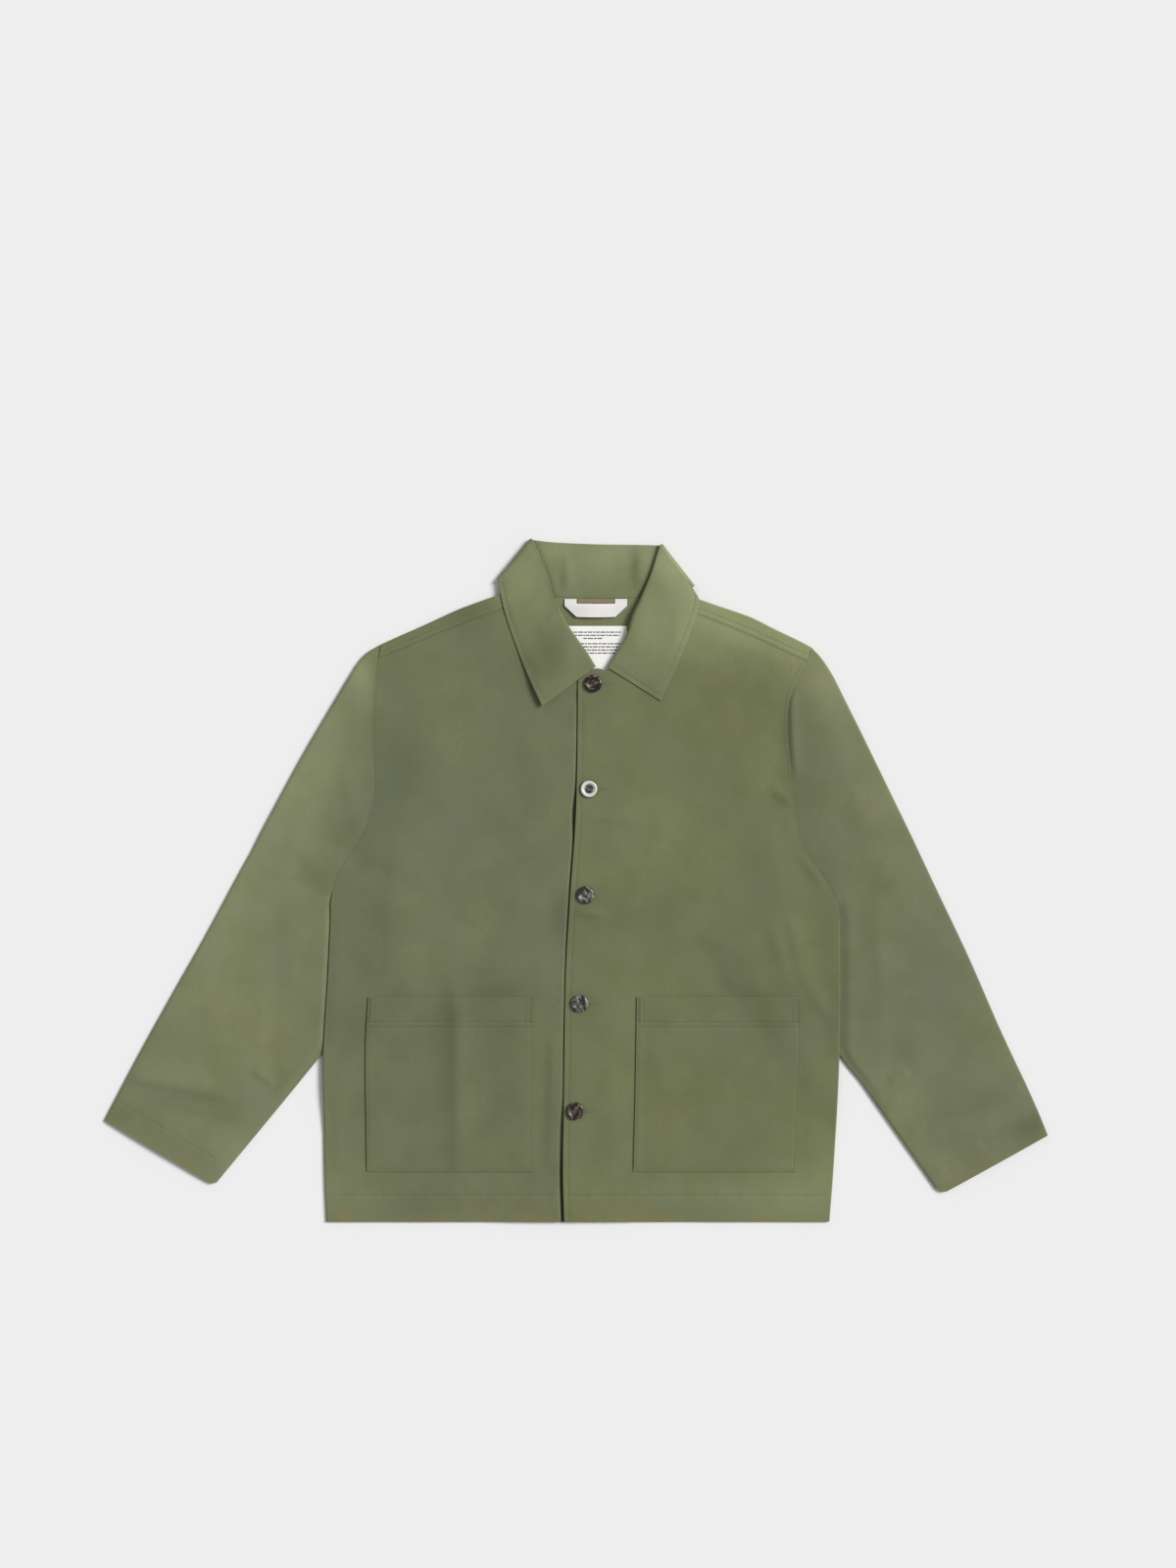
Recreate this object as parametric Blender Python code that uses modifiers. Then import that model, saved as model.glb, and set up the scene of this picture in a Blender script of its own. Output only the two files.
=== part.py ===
"""Work jacket, buttoned up and laid flat on its back, for Blender 4.5.

+X is the viewer's right, +Y points from hem to collar and +Z is up from the ground it lies on.
Sizes are in millimetres here and become metres when a mesh is made. "Left" and "right" in a piece's
name are the wearer's: the left front, with the buttonholes, is on the viewer's right and on top.

Each piece of cloth is the middle surface of its wall, a grid of points between the curves it is cut
along, given its thickness by Solidify. Pieces that are sewn together share the points of their seam.
"""

import bmesh
import bpy
import numpy as np

MM = 0.001

# Cloth, in millimetres.
WALL = 1.2
COLLAR_WALL = 1.4
TAPE_WALL = 1.0
SEAM_GAP = 0.36
LAYER_GAP = 0.3
TAPE_GAP = 0.5

# How the layers lie on each other: heights between the middles of two walls.
SIDE_LIFT = 2.0  # front over back along the folded sides and shoulders
CHEST_PUFF = 1.1  # what the middle of a front lies higher
NECK_LIFT = 1.4  # what the fronts rise over the label
OVERLAP_LIFT = 1.8  # left front over right front
LEAF_LIFT = 2.2  # collar leaf over its stand
COLLAR_RISE = 2.3  # back panel over the turned-down collar
SLEEVE_RISE = 3.3  # back panel over the sleeve tucked under it
TUCKED_LIFT = 1.8  # upper over lower layer of the tucked part of a sleeve
CUFF_LIFT = 2.2  # the same along a sleeve's folded edges
SLEEVE_PUFF = 1.9  # what the middle of a sleeve lies higher

# Where those heights begin, how far they are kept and over what distance they fade.
TUCK_BUMP_KEPT, TUCK_BUMP_FADE = 26.0, 38.0  # back panel beyond a tucked sleeve's edge
NECK_BUMP_HALF, NECK_BUMP_Y, NECK_BUMP_FADE = 104.0, 304.0, 80.0  # back panel round the neck
PUFF_RIGHT_X, PUFF_LEFT_X, PUFF_SIDE_FADE = 290.0, -280.0, 70.0  # a front's puff in from the sides
PUFF_HEM_FADE, PUFF_SHOULDER_FADE = 50.0, 60.0  # and in from hem and shoulders
SHOULDER_TOP_Y, SHOULDER_SLOPE = 318.0, 0.3
LABEL_BUMP_Y, LABEL_BUMP_KEPT, LABEL_BUMP_FADE = 262.0, 42.0, 48.0  # fronts over the label
LABEL_BUMP_TALL = 0.9
LAP_END_X, LAP_FADE = 36.0, 44.0  # left front past the right one's edge
LEAF_LAP_X, LEAF_LAP_FADE = -36.0, 30.0  # right leaf onto the left front's corner
TUCK_BESIDE, TUCK_BESIDE_FADE = 16.0, 34.0  # a sleeve's tucked part, beside the body
TUCK_ABOVE, TUCK_ABOVE_FADE = 14.0, 50.0  # and above the armpit
ARMHOLE_FADE = 70.0  # from the tucked armpit to the height of the front's edge
CAP_FLAT = 0.25  # share of a cap's width, next to its fold, that ignores the armhole's height
SHOULDER_ROWS = 3.0  # last rows of a cap, which lie as the shoulder does

# Driving dimensions.
HEM_Y = -382.0
NECK_X = 22.0
POCKET_BOTTOM_Y = -325.5
POCKET_HEM_Y = -161.0
POCKET_TOP_Y = -129.5
BUTTON_DIAMETER = 19.6
BUTTON_THICKNESS = 3.2

# Edges and seams as x, y. "viewer_right" is the wearer's left.
SIDE_SEAM = {
    "viewer_right": [(284, -382), (288, -331), (292, -265), (295, -193), (296, -111), (295, -34)],
    "viewer_left": [(-280, -382), (-282, -331), (-283, -265), (-284, -193), (-279, -107), (-275, -24)],
}
ARMHOLE = {
    "viewer_right": [
        (295, -34), (290, -14), (275, 10), (254, 43), (244, 98), (239, 142),
        (237, 169), (238, 197), (246, 221), (259, 246), (264, 262),
    ],
    "viewer_left": [
        (-275, -24), (-270, 1), (-259, 24), (-238, 56), (-227, 92), (-226, 120),
        (-228, 153), (-228, 191), (-226, 219), (-222, 249), (-220, 265),
    ],
}
SHOULDER_FOLD = {  # from the neck to the armhole
    "viewer_right": [
        (120, 322), (135, 317), (155, 310), (179, 301), (198, 293), (224, 280), (251, 268), (264, 262),
    ],
    "viewer_left": [
        (-76, 324), (-90, 320), (-118, 310), (-136, 303), (-173, 286), (-198, 275), (-220, 265),
    ],
}
SHOULDER_SEAM = {
    "viewer_right": [(121, 305), (136, 299), (166, 287), (193, 276), (213, 267), (243, 253), (259, 246)],
    "viewer_left": [(-77, 307), (-90, 302), (-118, 292), (-153, 278), (-186, 264), (-222, 249)],
}
FRONT_NECK = {  # from the end of the collar to the shoulder seam
    "viewer_right": [(37, 235), (63, 240), (92, 261), (110, 283), (121, 305)],
    "viewer_left": [(13, 229), (-18, 238), (-46, 258), (-65, 283), (-77, 307)],
}
FRONT_TOP = {  # from the front edge to the end of the collar
    "viewer_right": [(2, 225), (20, 233), (37, 235)],
    "viewer_left": [(33, 226), (13, 229)],
}
FRONT_EDGE = {
    "viewer_right": [
        (-13, -382), (-18, -324), (-14, -250), (-12, -111), (-7, -20), (-1, 65), (1, 131), (2, 225),
    ],
    "viewer_left": [(16, -382), (19, -221), (20, -130), (26, -1), (31, 109), (33, 226)],
}
BACK_NECK = [(-76, 322), (-47, 319), (22, 317), (92, 318), (120, 320)]

# A sleeve's folded edges. It is tucked under the body between the armhole's end, the tuck and the notch.
SLEEVE_TOP_EDGE = {  # from the shoulder to the upper arm
    "viewer_right": [
        (264, 262), (272, 253), (280, 242), (289, 227), (299, 207), (321, 163), (364, 75), (390, 21),
    ],
    "viewer_left": [
        (-220, 265), (-234, 256), (-243, 246), (-252, 232),
        (-273, 197), (-308, 138), (-346, 68), (-366, 30),
    ],
}
SLEEVE_OUTER_EDGE = {  # from the upper arm to the cuff
    "viewer_right": [
        (390, 21), (406, -13), (441, -87), (475, -165), (505, -229), (518, -258), (529, -285),
    ],
    "viewer_left": [(-366, 30), (-381, 3), (-416, -62), (-450, -122), (-490, -194), (-529, -268)],
}
SLEEVE_INNER_EDGE = {
    "viewer_right": [(215, -80), (295, -195), (321, -228), (359, -282), (393, -330), (408, -352)],
    "viewer_left": [(-188, -76), (-284, -193), (-344, -266), (-406, -341)],
}
NOTCH = {"viewer_right": (295, -195), "viewer_left": (-284, -193)}

# The collar's roll and outer edge, from its front end round to the fold at the side of the neck.
COLLAR_ROLL = {
    "viewer_right": [(36, 239), (58, 273), (65, 292), (74, 315), (86, 345), (95, 371)],
    "viewer_left": [(20, 239), (9, 256), (-11, 285), (-27, 318), (-34, 340), (-54, 377)],
}
COLLAR_EDGE = {
    "viewer_right": [(95, 202), (117, 250), (134, 298), (133, 315), (127, 328)],
    "viewer_left": [(-38, 196), (-57, 238), (-76, 289), (-84, 319), (-86, 336)],
}
COLLAR_NECK_CORNER = {"viewer_right": (117.6, 320.5), "viewer_left": (-73.6, 322.5)}
COLLAR_FOLD_OUT = {"viewer_right": (0.80, 0.60), "viewer_left": (-0.79, 0.61)}
BACK_ROLL = [(-54, 377), (-9, 376), (23, 374), (64, 373), (95, 371)]
BACK_COLLAR_EDGE = [(-86, 336), (-64, 333), (22, 330), (107, 328), (127, 328)]

# The largest folds: ridges (and troughs, with a minus) along straight lines over a panel.
#   x0,   y0,   x1,   y1, height, half width
BODY_FOLDS = [
    (210, 40, 262, -140, 1.3, 24),
    (176, 190, 200, 90, 0.9, 26),
    (150, -60, 240, -118, 0.8, 20),
    (-190, 140, -186, -110, 1.2, 24),
    (-236, -60, -226, -300, 0.7, 18),
    (-118, -150, -122, -300, 1.0, 20),
    (-60, -170, -46, -330, 0.8, 16),
    (96, -200, 104, -340, 0.6, 20),
]
SLEEVE_FOLDS = [
    (300, 130, 372, -40, 1.1, 20),
    (372, -10, 440, -150, 0.9, 22),
    (424, -240, 506, -226, 0.9, 14),
    (330, -70, 386, -200, 0.7, 18),
    (-292, 110, -352, -30, 1.1, 20),
    (-352, -60, -430, -180, 0.9, 22),
    (-500, -206, -410, -232, 0.9, 14),
    (-320, -60, -362, -170, 0.7, 18),
]

# Grid counts.
SKIRT_ROWS = (2, 6, 1, 4)  # hem to pocket, to its hem, to its mouth, to the armpit
ARMHOLE_ROWS = 11
NECK_COLUMNS = 5
SHOULDER_COLUMNS = 7
BACK_NECK_COLUMNS = 8
FOLD_STEPS = 4
CAP_COLUMNS = 5
TUCK_COLUMNS = 4
SLEEVE_ROWS = 14
STAND_ROWS = 3
ROLL_STEPS = 4
LEAF_ROWS = 5

# Where the columns of a front stand at the hem: shares of its width from the front edge. The fourth
# and the tenth after the front edge's own are the pocket's edges.
FRONT_COLUMNS = {
    "viewer_right": (
        0.0, 0.07, 0.14, 0.2, 0.262, 0.36, 0.46, 0.56, 0.66, 0.76, 0.864, 0.9, 0.935, 0.965, 1.0,
    ),
    "viewer_left": (
        0.0, 0.055, 0.11, 0.165, 0.222, 0.326, 0.43, 0.534, 0.638, 0.742, 0.846, 0.885, 0.925, 0.962, 1.0,
    ),
}
POCKET_COLUMNS = (4, 10)

BUTTON_PLACES = [(18.2, 221.6), (14.3, 103.4), (10.4, -15.4), (3.9, -137.0), (-1.1, -257.4)]
LABEL_CORNERS = ((-13, 231), (57, 286))
LOOP_LEFT, LOOP_RIGHT = -13.0, 57.0
LOOP_TOP_Y, LOOP_BOTTOM_Y = 316.2, 295.5
LOOP_LEG = 13.5
LOOP_BAND = 15.0
LOOP_CORNER_FROM = 0.62  # share of the half width where the band's lower corners are cut off
LOOP_CORNER_CUT = 11.5
LOOP_SAG = (1.5, 0.6)  # how much the band's lower and upper edges rise to its ends
BUTTON_TURN = 0.3  # each button is turned this much more than the one above, in radians
THREAD_HOLE_RADIUS = 0.95
THREAD_HOLE_OFF = 2.65

# A button's outline from the middle of its face over the rim to the middle of its back, as shares of
# its radius and of its thickness.
#   out,  up
BUTTON_PROFILE = [
    (0.00, 0.62),
    (0.50, 0.62),
    (0.66, 0.90),
    (0.78, 1.00),
    (0.92, 0.90),
    (1.00, 0.60),
    (0.97, 0.34),
    (0.80, 0.06),
    (0.70, 0.00),
    (0.00, 0.00),
]

# Colour (sRGB 0 to 1), roughness.
FINISHES = {
    "canvas": ((0.45, 0.47, 0.35), 0.85),
    "white_tape": ((0.91, 0.90, 0.89), 0.8),
    "horn": ((0.20, 0.16, 0.13), 0.35),
}


def ease(t):
    """0 to 1 with no slope at either end."""
    t = np.clip(t, 0.0, 1.0)
    return t * t * (3.0 - 2.0 * t)


def along(points, shares):
    """The points at these shares of the length of a smooth curve through the given points."""
    p = np.asarray(points, float)
    if len(p) == 2:
        return p[0] + np.asarray(shares)[:, None] * (p[1] - p[0])
    ends = np.vstack([2 * p[0] - p[1], p, 2 * p[-1] - p[-2]])
    t = np.linspace(0.0, 1.0, 17)[:-1, None]
    spans = []
    for a, b, c, d in zip(ends, ends[1:], ends[2:], ends[3:]):
        squared = a - 2.5 * b + 2 * c - 0.5 * d
        cubed = 0.5 * (3 * b - a - 3 * c + d)
        spans.append(b + 0.5 * t * (c - a) + t**2 * squared + t**3 * cubed)
    fine = np.vstack([*spans, p[-1:]])
    length = np.r_[0.0, np.cumsum(np.linalg.norm(np.diff(fine, axis=0), axis=1))]
    at = np.asarray(shares) * length[-1]
    return np.stack([np.interp(at, length, fine[:, k]) for k in (0, 1)], axis=-1)


def sideways(points):
    """Unit vectors across a run of points, to the left of its direction."""
    run = np.gradient(points, axis=0)
    run /= np.maximum(np.linalg.norm(run, axis=1, keepdims=True), 1e-9)
    return np.stack([-run[:, 1], run[:, 0]], axis=-1)


def even(count):
    return np.linspace(0.0, 1.0, count + 1)


def outward(side):
    return 1.0 if side == "viewer_right" else -1.0


def beyond(x, y, a, b, inside):
    """Distance from the line through a and b, positive on the side away from the point inside."""
    across = np.array([b[1] - a[1], a[0] - b[0]], float)
    across /= np.linalg.norm(across)
    if (inside[0] - a[0]) * across[0] + (inside[1] - a[1]) * across[1] > 0:
        across = -across
    return (x - a[0]) * across[0] + (y - a[1]) * across[1]


def folds(x, y, table):
    """Sum of soft ridges: full height along each line, falling off as a bell across and past its ends."""
    height = np.zeros(np.shape(x))
    for x0, y0, x1, y1, top, half_width in table:
        dx, dy = x1 - x0, y1 - y0
        t = np.clip(((x - x0) * dx + (y - y0) * dy) / (dx * dx + dy * dy), 0.0, 1.0)
        off = np.hypot(x - x0 - t * dx, y - y0 - t * dy)
        height += top * np.exp(-((off / half_width) ** 2))
    return height


def back_height(x, y):
    """Middle of the back panel: on the ground, raised over the tucked sleeves and the collar's fall."""
    rise = np.zeros(np.shape(x))
    for side in SIDE_SEAM:
        arm, tuck, notch = ARMHOLE[side][0], SLEEVE_INNER_EDGE[side][0], NOTCH[side]
        past = np.maximum(beyond(x, y, arm, tuck, notch), beyond(x, y, tuck, notch, arm))
        rise = np.maximum(rise, SLEEVE_RISE * ease(1.0 - (past - TUCK_BUMP_KEPT) / TUCK_BUMP_FADE))
    aside = np.maximum(np.abs(x - NECK_X) - NECK_BUMP_HALF, 0.0)
    below = np.maximum(NECK_BUMP_Y - y, 0.0)
    return WALL / 2 + rise + COLLAR_RISE * ease(1.0 - np.hypot(aside, below) / NECK_BUMP_FADE)


def front_height(x, y):
    """Middle of a front where only the back lies under it."""
    shoulder = SHOULDER_TOP_Y - SHOULDER_SLOPE * np.abs(x - NECK_X)
    middle = (
        ease((PUFF_RIGHT_X - x) / PUFF_SIDE_FADE)
        * ease((x - PUFF_LEFT_X) / PUFF_SIDE_FADE)
        * ease((y - HEM_Y) / PUFF_HEM_FADE)
        * ease((shoulder - y) / PUFF_SHOULDER_FADE)
    )
    off_label = np.hypot(x - NECK_X, (y - LABEL_BUMP_Y) * LABEL_BUMP_TALL)
    over_label = ease(1.0 - (off_label - LABEL_BUMP_KEPT) / LABEL_BUMP_FADE)
    puff = CHEST_PUFF + folds(x, y, BODY_FOLDS)
    return back_height(x, y) + SIDE_LIFT + puff * middle + NECK_LIFT * over_label


def top_height(x, y, side):
    """Middle of the named front, with the left one lifted where it laps over the right one."""
    lapped = 1.0 - ease((x - LAP_END_X) / LAP_FADE) if side == "viewer_right" else 0.0
    return front_height(x, y) + OVERLAP_LIFT * lapped


def leaf_height(x, y, side):
    """Middle of the collar's leaf, over its own front and over the end of the left one."""
    under = top_height(x, y, side)
    if side == "viewer_left":
        under = under + OVERLAP_LIFT * ease((x - LEAF_LAP_X) / LEAF_LAP_FADE)
    return under + LEAF_LIFT


def skirt_shares(side):
    """The rows from hem to armpit as shares of that height, with rows on the pocket's edges."""
    armpit_y = ARMHOLE[side][0][1]
    marks = [(y - HEM_Y) / (armpit_y - HEM_Y) for y in (POCKET_BOTTOM_Y, POCKET_HEM_Y, POCKET_TOP_Y)]
    marks = [0.0, *marks, 1.0]
    runs = [a + (b - a) * even(n)[:-1] for a, b, n in zip(marks, marks[1:], SKIRT_ROWS)]
    return np.r_[np.concatenate(runs), 1.0]


def armhole_points(side):
    """The armhole's points from the armpit to the shoulder seam, and the last one on the fold."""
    curve = ARMHOLE[side]
    return np.vstack([along(curve[:-1], even(ARMHOLE_ROWS)), curve[-1]])


def at_height(points, y):
    """Points of a rising run, at these heights on the page."""
    p = along(points, even(64))
    return np.stack([np.interp(y, p[:, 1], p[:, 0]), y], axis=-1)


def side_run(side, inset, shift):
    """Edge of a body panel from hem to shoulder seam. The folded side is set in, the armhole is shifted."""
    armpit_y = ARMHOLE[side][0][1]
    low = at_height(SIDE_SEAM[side], HEM_Y + skirt_shares(side) * (armpit_y - HEM_Y))
    high = armhole_points(side)
    inward = sideways(high) * outward(side)
    low[:, 0] -= outward(side) * inset
    high = high + inward * shift
    return np.vstack([low[:-1], high])


def ruled(left, right, top, blend):
    """Straight rows from the left to the right run; towards the last row the top's own shape comes in.

    Each row is left + u (right - left) plus blend times what the top edge departs from its chord.
    """
    top_shape, u = top
    chord = left[-1] + u[:, None] * (right[-1] - left[-1])
    rows = left[:, None] + u[None, :, None] * (right - left)[:, None]
    return rows + blend[:, None, None] * (top_shape - chord)[None]


def raised(plan, height):
    """The points of a plan with their heights."""
    return np.concatenate([plan, height(plan[..., 0], plan[..., 1])[..., None]], axis=-1)


def bend(start, out, end_height, steps):
    """Half-circles from points at their own height to another one, bulging along out."""
    radius = (end_height - start[:, 2]) / 2.0
    angle = np.linspace(-np.pi / 2, np.pi / 2, steps + 1)[1:, None]
    plan = start[None, :, :2] + out[None] * np.abs(radius * np.cos(angle))[..., None]
    z = start[None, :, 2] + radius + radius * np.sin(angle)
    return np.concatenate([plan, z[..., None]], axis=-1)


def front_grid(side):
    """Middle surface of a front: rows from hem to shoulder, columns from front edge to side."""
    skirt = skirt_shares(side)
    armpit_y = ARMHOLE[side][0][1]
    inset = (SIDE_LIFT + WALL) / 2
    outer = side_run(side, inset, SEAM_GAP / 2)[:-1]
    edge_y = HEM_Y + skirt[:-1] * (armpit_y - HEM_Y)
    high_y = armpit_y + even(ARMHOLE_ROWS) * (FRONT_TOP[side][0][1] - armpit_y)
    edge = at_height(FRONT_EDGE[side], np.r_[edge_y, high_y])
    u = np.array(FRONT_COLUMNS[side])
    lap = len(u) - 1 - NECK_COLUMNS - SHOULDER_COLUMNS
    neck = neck_points(side)
    neck = neck + sideways(neck) * -outward(side) * SEAM_GAP / 2
    seam = along(SHOULDER_SEAM[side], even(SHOULDER_COLUMNS))
    seam = seam - np.array([0.0, SEAM_GAP / 2])
    seam[0, 0] = neck[-1, 0]
    seam[-1] = outer[-1]
    top = np.vstack([along(FRONT_TOP[side], even(lap))[:-1], neck[:-1], seam])
    blend = np.r_[np.zeros(len(skirt) - 1), even(ARMHOLE_ROWS) ** 2]
    return ruled(edge, outer, (top, u), blend)


def neck_points(side):
    return along(FRONT_NECK[side], even(NECK_COLUMNS))


def front(side, name):
    """A front panel, whose folded side edge curls down to the back panel's edge."""
    plan = front_grid(side)
    grid = raised(plan, lambda x, y: top_height(x, y, side))
    low = len(skirt_shares(side)) - 1
    brim = grid[:low, -1]
    out = np.zeros((low, 2))
    out[:, 0] = outward(side)
    curl = bend(brim, out, back_height(brim[:, 0], brim[:, 1]), FOLD_STEPS)
    return cloth(name, [grid, np.vstack([brim[None], curl])], WALL, "canvas"), grid


def shoulder_strip(side, fold):
    """The back panel's wrap over a shoulder: round the fold, then down to the seam on the front."""
    out = sideways(fold[:, :2]) * outward(side)
    top = bend(fold, out, top_height(fold[:, 0], fold[:, 1], side), FOLD_STEPS)
    seam = along(SHOULDER_SEAM[side], even(SHOULDER_COLUMNS)) + np.array([0.0, SEAM_GAP / 2])
    seam[0, 0] += outward(side) * SEAM_GAP / 2
    seam[-1, 0] -= outward(side) * SEAM_GAP / 2
    halfway = (top[-1, :, :2] + seam) / 2
    flat = raised(np.stack([halfway, seam]), lambda x, y: top_height(x, y, side))
    return np.vstack([fold[None], top, flat])


def back():
    """The back panel, which turns forward over both shoulders to the shoulder seams."""
    inset = (SIDE_LIFT + WALL) / 2
    left = side_run("viewer_left", inset + SEAM_GAP, SEAM_GAP / 2)
    right = side_run("viewer_right", inset + SEAM_GAP, SEAM_GAP / 2)
    shoulders = {}
    for side in SHOULDER_FOLD:
        fold = along(SHOULDER_FOLD[side], even(SHOULDER_COLUMNS))
        shoulders[side] = fold - sideways(fold) * outward(side) * inset
        shoulders[side][-1, 0] -= outward(side) * SEAM_GAP / 2
    left[-1], right[-1] = shoulders["viewer_left"][-1], shoulders["viewer_right"][-1]
    neck = back_neck_points()
    neck[0], neck[-1] = shoulders["viewer_left"][0], shoulders["viewer_right"][0]
    top = np.vstack([shoulders["viewer_left"][::-1], neck[1:-1], shoulders["viewer_right"]])
    u = (top[:, 0] - top[0, 0]) / (top[-1, 0] - top[0, 0])
    high = np.arange(ARMHOLE_ROWS + 2) / (ARMHOLE_ROWS + 1)
    blend = np.r_[np.zeros(len(left) - len(high)), high**2]
    grid = raised(ruled(left, right, (top, u), blend), back_height)
    count = SHOULDER_COLUMNS + 1
    left_strip = shoulder_strip("viewer_left", grid[-1, :count][::-1])
    right_strip = shoulder_strip("viewer_right", grid[-1, -count:])
    return cloth("back", [grid, left_strip, right_strip], WALL, "canvas")


def back_neck_points():
    return along(BACK_NECK, even(BACK_NECK_COLUMNS))


def pocket(name, panel):
    """A patch pocket: the front panel's own points under it, moved up by both walls' halves and the gap."""
    first, last = POCKET_COLUMNS
    low, high = SKIRT_ROWS[0], sum(SKIRT_ROWS[:3])
    patch = panel[low : high + 1, first : last + 1].copy()
    patch[..., 2] += WALL + LAYER_GAP
    return cloth(name, [patch], WALL, "canvas")


def ring_lift(x, y, side, across):
    """How far a sleeve's upper layer lies over its lower one: least at the folds and under the body."""
    seam = SIDE_SEAM[side]
    seam_x = np.interp(y, [p[1] for p in seam], [p[0] for p in seam])
    off_body = outward(side) * (x - seam_x)
    armpit_y = ARMHOLE[side][0][1]
    free = np.maximum(
        ease((off_body - TUCK_BESIDE) / TUCK_BESIDE_FADE),
        ease((y - armpit_y - TUCK_ABOVE) / TUCK_ABOVE_FADE),
    )
    crown = np.sqrt(np.clip(4 * across * (1 - across), 0.0, 1.0))
    puff = (SLEEVE_PUFF + folds(x, y, SLEEVE_FOLDS)) * crown
    return TUCKED_LIFT + free * (CUFF_LIFT - TUCKED_LIFT + puff)


def on_ground(plan):
    """The points of a plan as the middle of a wall that lies on the ground."""
    return raised(plan, lambda x, y: np.full(np.shape(x), WALL / 2))


def folded(lower, out, upper):
    """Rows over a folded edge: the lower layer's points, the bend and the upper layer's points."""
    curl = bend(lower[:, 0], out, upper[:, 0, 2], FOLD_STEPS).swapaxes(0, 1)
    return np.concatenate([lower[:, ::-1], curl[:, :-1], upper], axis=1)


def unit(vectors):
    return vectors / np.linalg.norm(vectors, axis=1, keepdims=True)


def sleeve(side, name):
    """A straight sleeve as a flattened tube, open at the cuff and at the armhole.

    Below the upper arm its rows are rings: lower layer, outer fold, upper layer, inner fold. Above it
    they run from the back of the armhole over the shoulder's fold to its front.
    """
    way = outward(side)
    arm = armhole_points(side)[:-1]
    arm = arm - sideways(arm) * way * SEAM_GAP / 2
    shoulder = along(SLEEVE_TOP_EDGE[side], even(ARMHOLE_ROWS))[::-1]
    cap_out = unit(shoulder - arm)
    fold = shoulder - cap_out * (CUFF_LIFT + WALL) / 2
    fold[-1, 0] += way * SEAM_GAP / 2
    outer = along(SLEEVE_OUTER_EDGE[side], even(SLEEVE_ROWS))[::-1]
    inner = along(SLEEVE_INNER_EDGE[side], even(SLEEVE_ROWS))[::-1]
    tube_out = unit(outer - inner)
    tube_out[-1] = cap_out[0]
    outer = outer - tube_out * (CUFF_LIFT + WALL) / 2
    inner = inner + tube_out * (TUCKED_LIFT + WALL) / 2
    half = np.linalg.norm(arm[0] - fold[0])
    half = half / (half + np.linalg.norm(inner[-1] - arm[0]))
    across = np.r_[even(CAP_COLUMNS) * half, half + even(TUCK_COLUMNS)[1:] * (1 - half)]

    share = even(CAP_COLUMNS)
    cap_plan = fold[:, None] + share[None, :, None] * (arm - fold)[:, None]
    lens = WALL / 2 + ring_lift(cap_plan[..., 0], cap_plan[..., 1], side, across[: CAP_COLUMNS + 1])
    reach = np.linalg.norm(arm - arm[0], axis=1)
    seam = top_height(arm[:, 0], arm[:, 1], side)[:, None]
    towards = ease((share - CAP_FLAT) / (1.0 - CAP_FLAT))
    height = lens + towards * ease(reach / ARMHOLE_FADE)[:, None] * (seam - lens)
    last = ease((np.arange(ARMHOLE_ROWS + 1) - ARMHOLE_ROWS) / SHOULDER_ROWS + 1.0)[:, None]
    height = height + last * (top_height(cap_plan[..., 0], cap_plan[..., 1], side) - height)
    cap_upper = np.concatenate([cap_plan, height[..., None]], axis=-1)
    cap = folded(on_ground(cap_plan), cap_out, cap_upper)

    tuck = arm[0] + even(TUCK_COLUMNS)[1:, None] * (inner[-1] - arm[0])
    top = np.vstack([cap_plan[0], tuck])
    plan = ruled(outer, inner, (top, across), even(SLEEVE_ROWS) ** 2)
    upper = raised(plan, lambda x, y: WALL / 2 + ring_lift(x, y, side, across))
    lower = on_ground(plan)
    curl = bend(lower[:, -1], -tube_out, upper[:, -1, 2], FOLD_STEPS).swapaxes(0, 1)
    ring = np.concatenate([folded(lower, tube_out, upper), curl[:, -2::-1], lower[:, -1:]], axis=1)
    return cloth(name, [cap, ring], WALL, "canvas")


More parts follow.
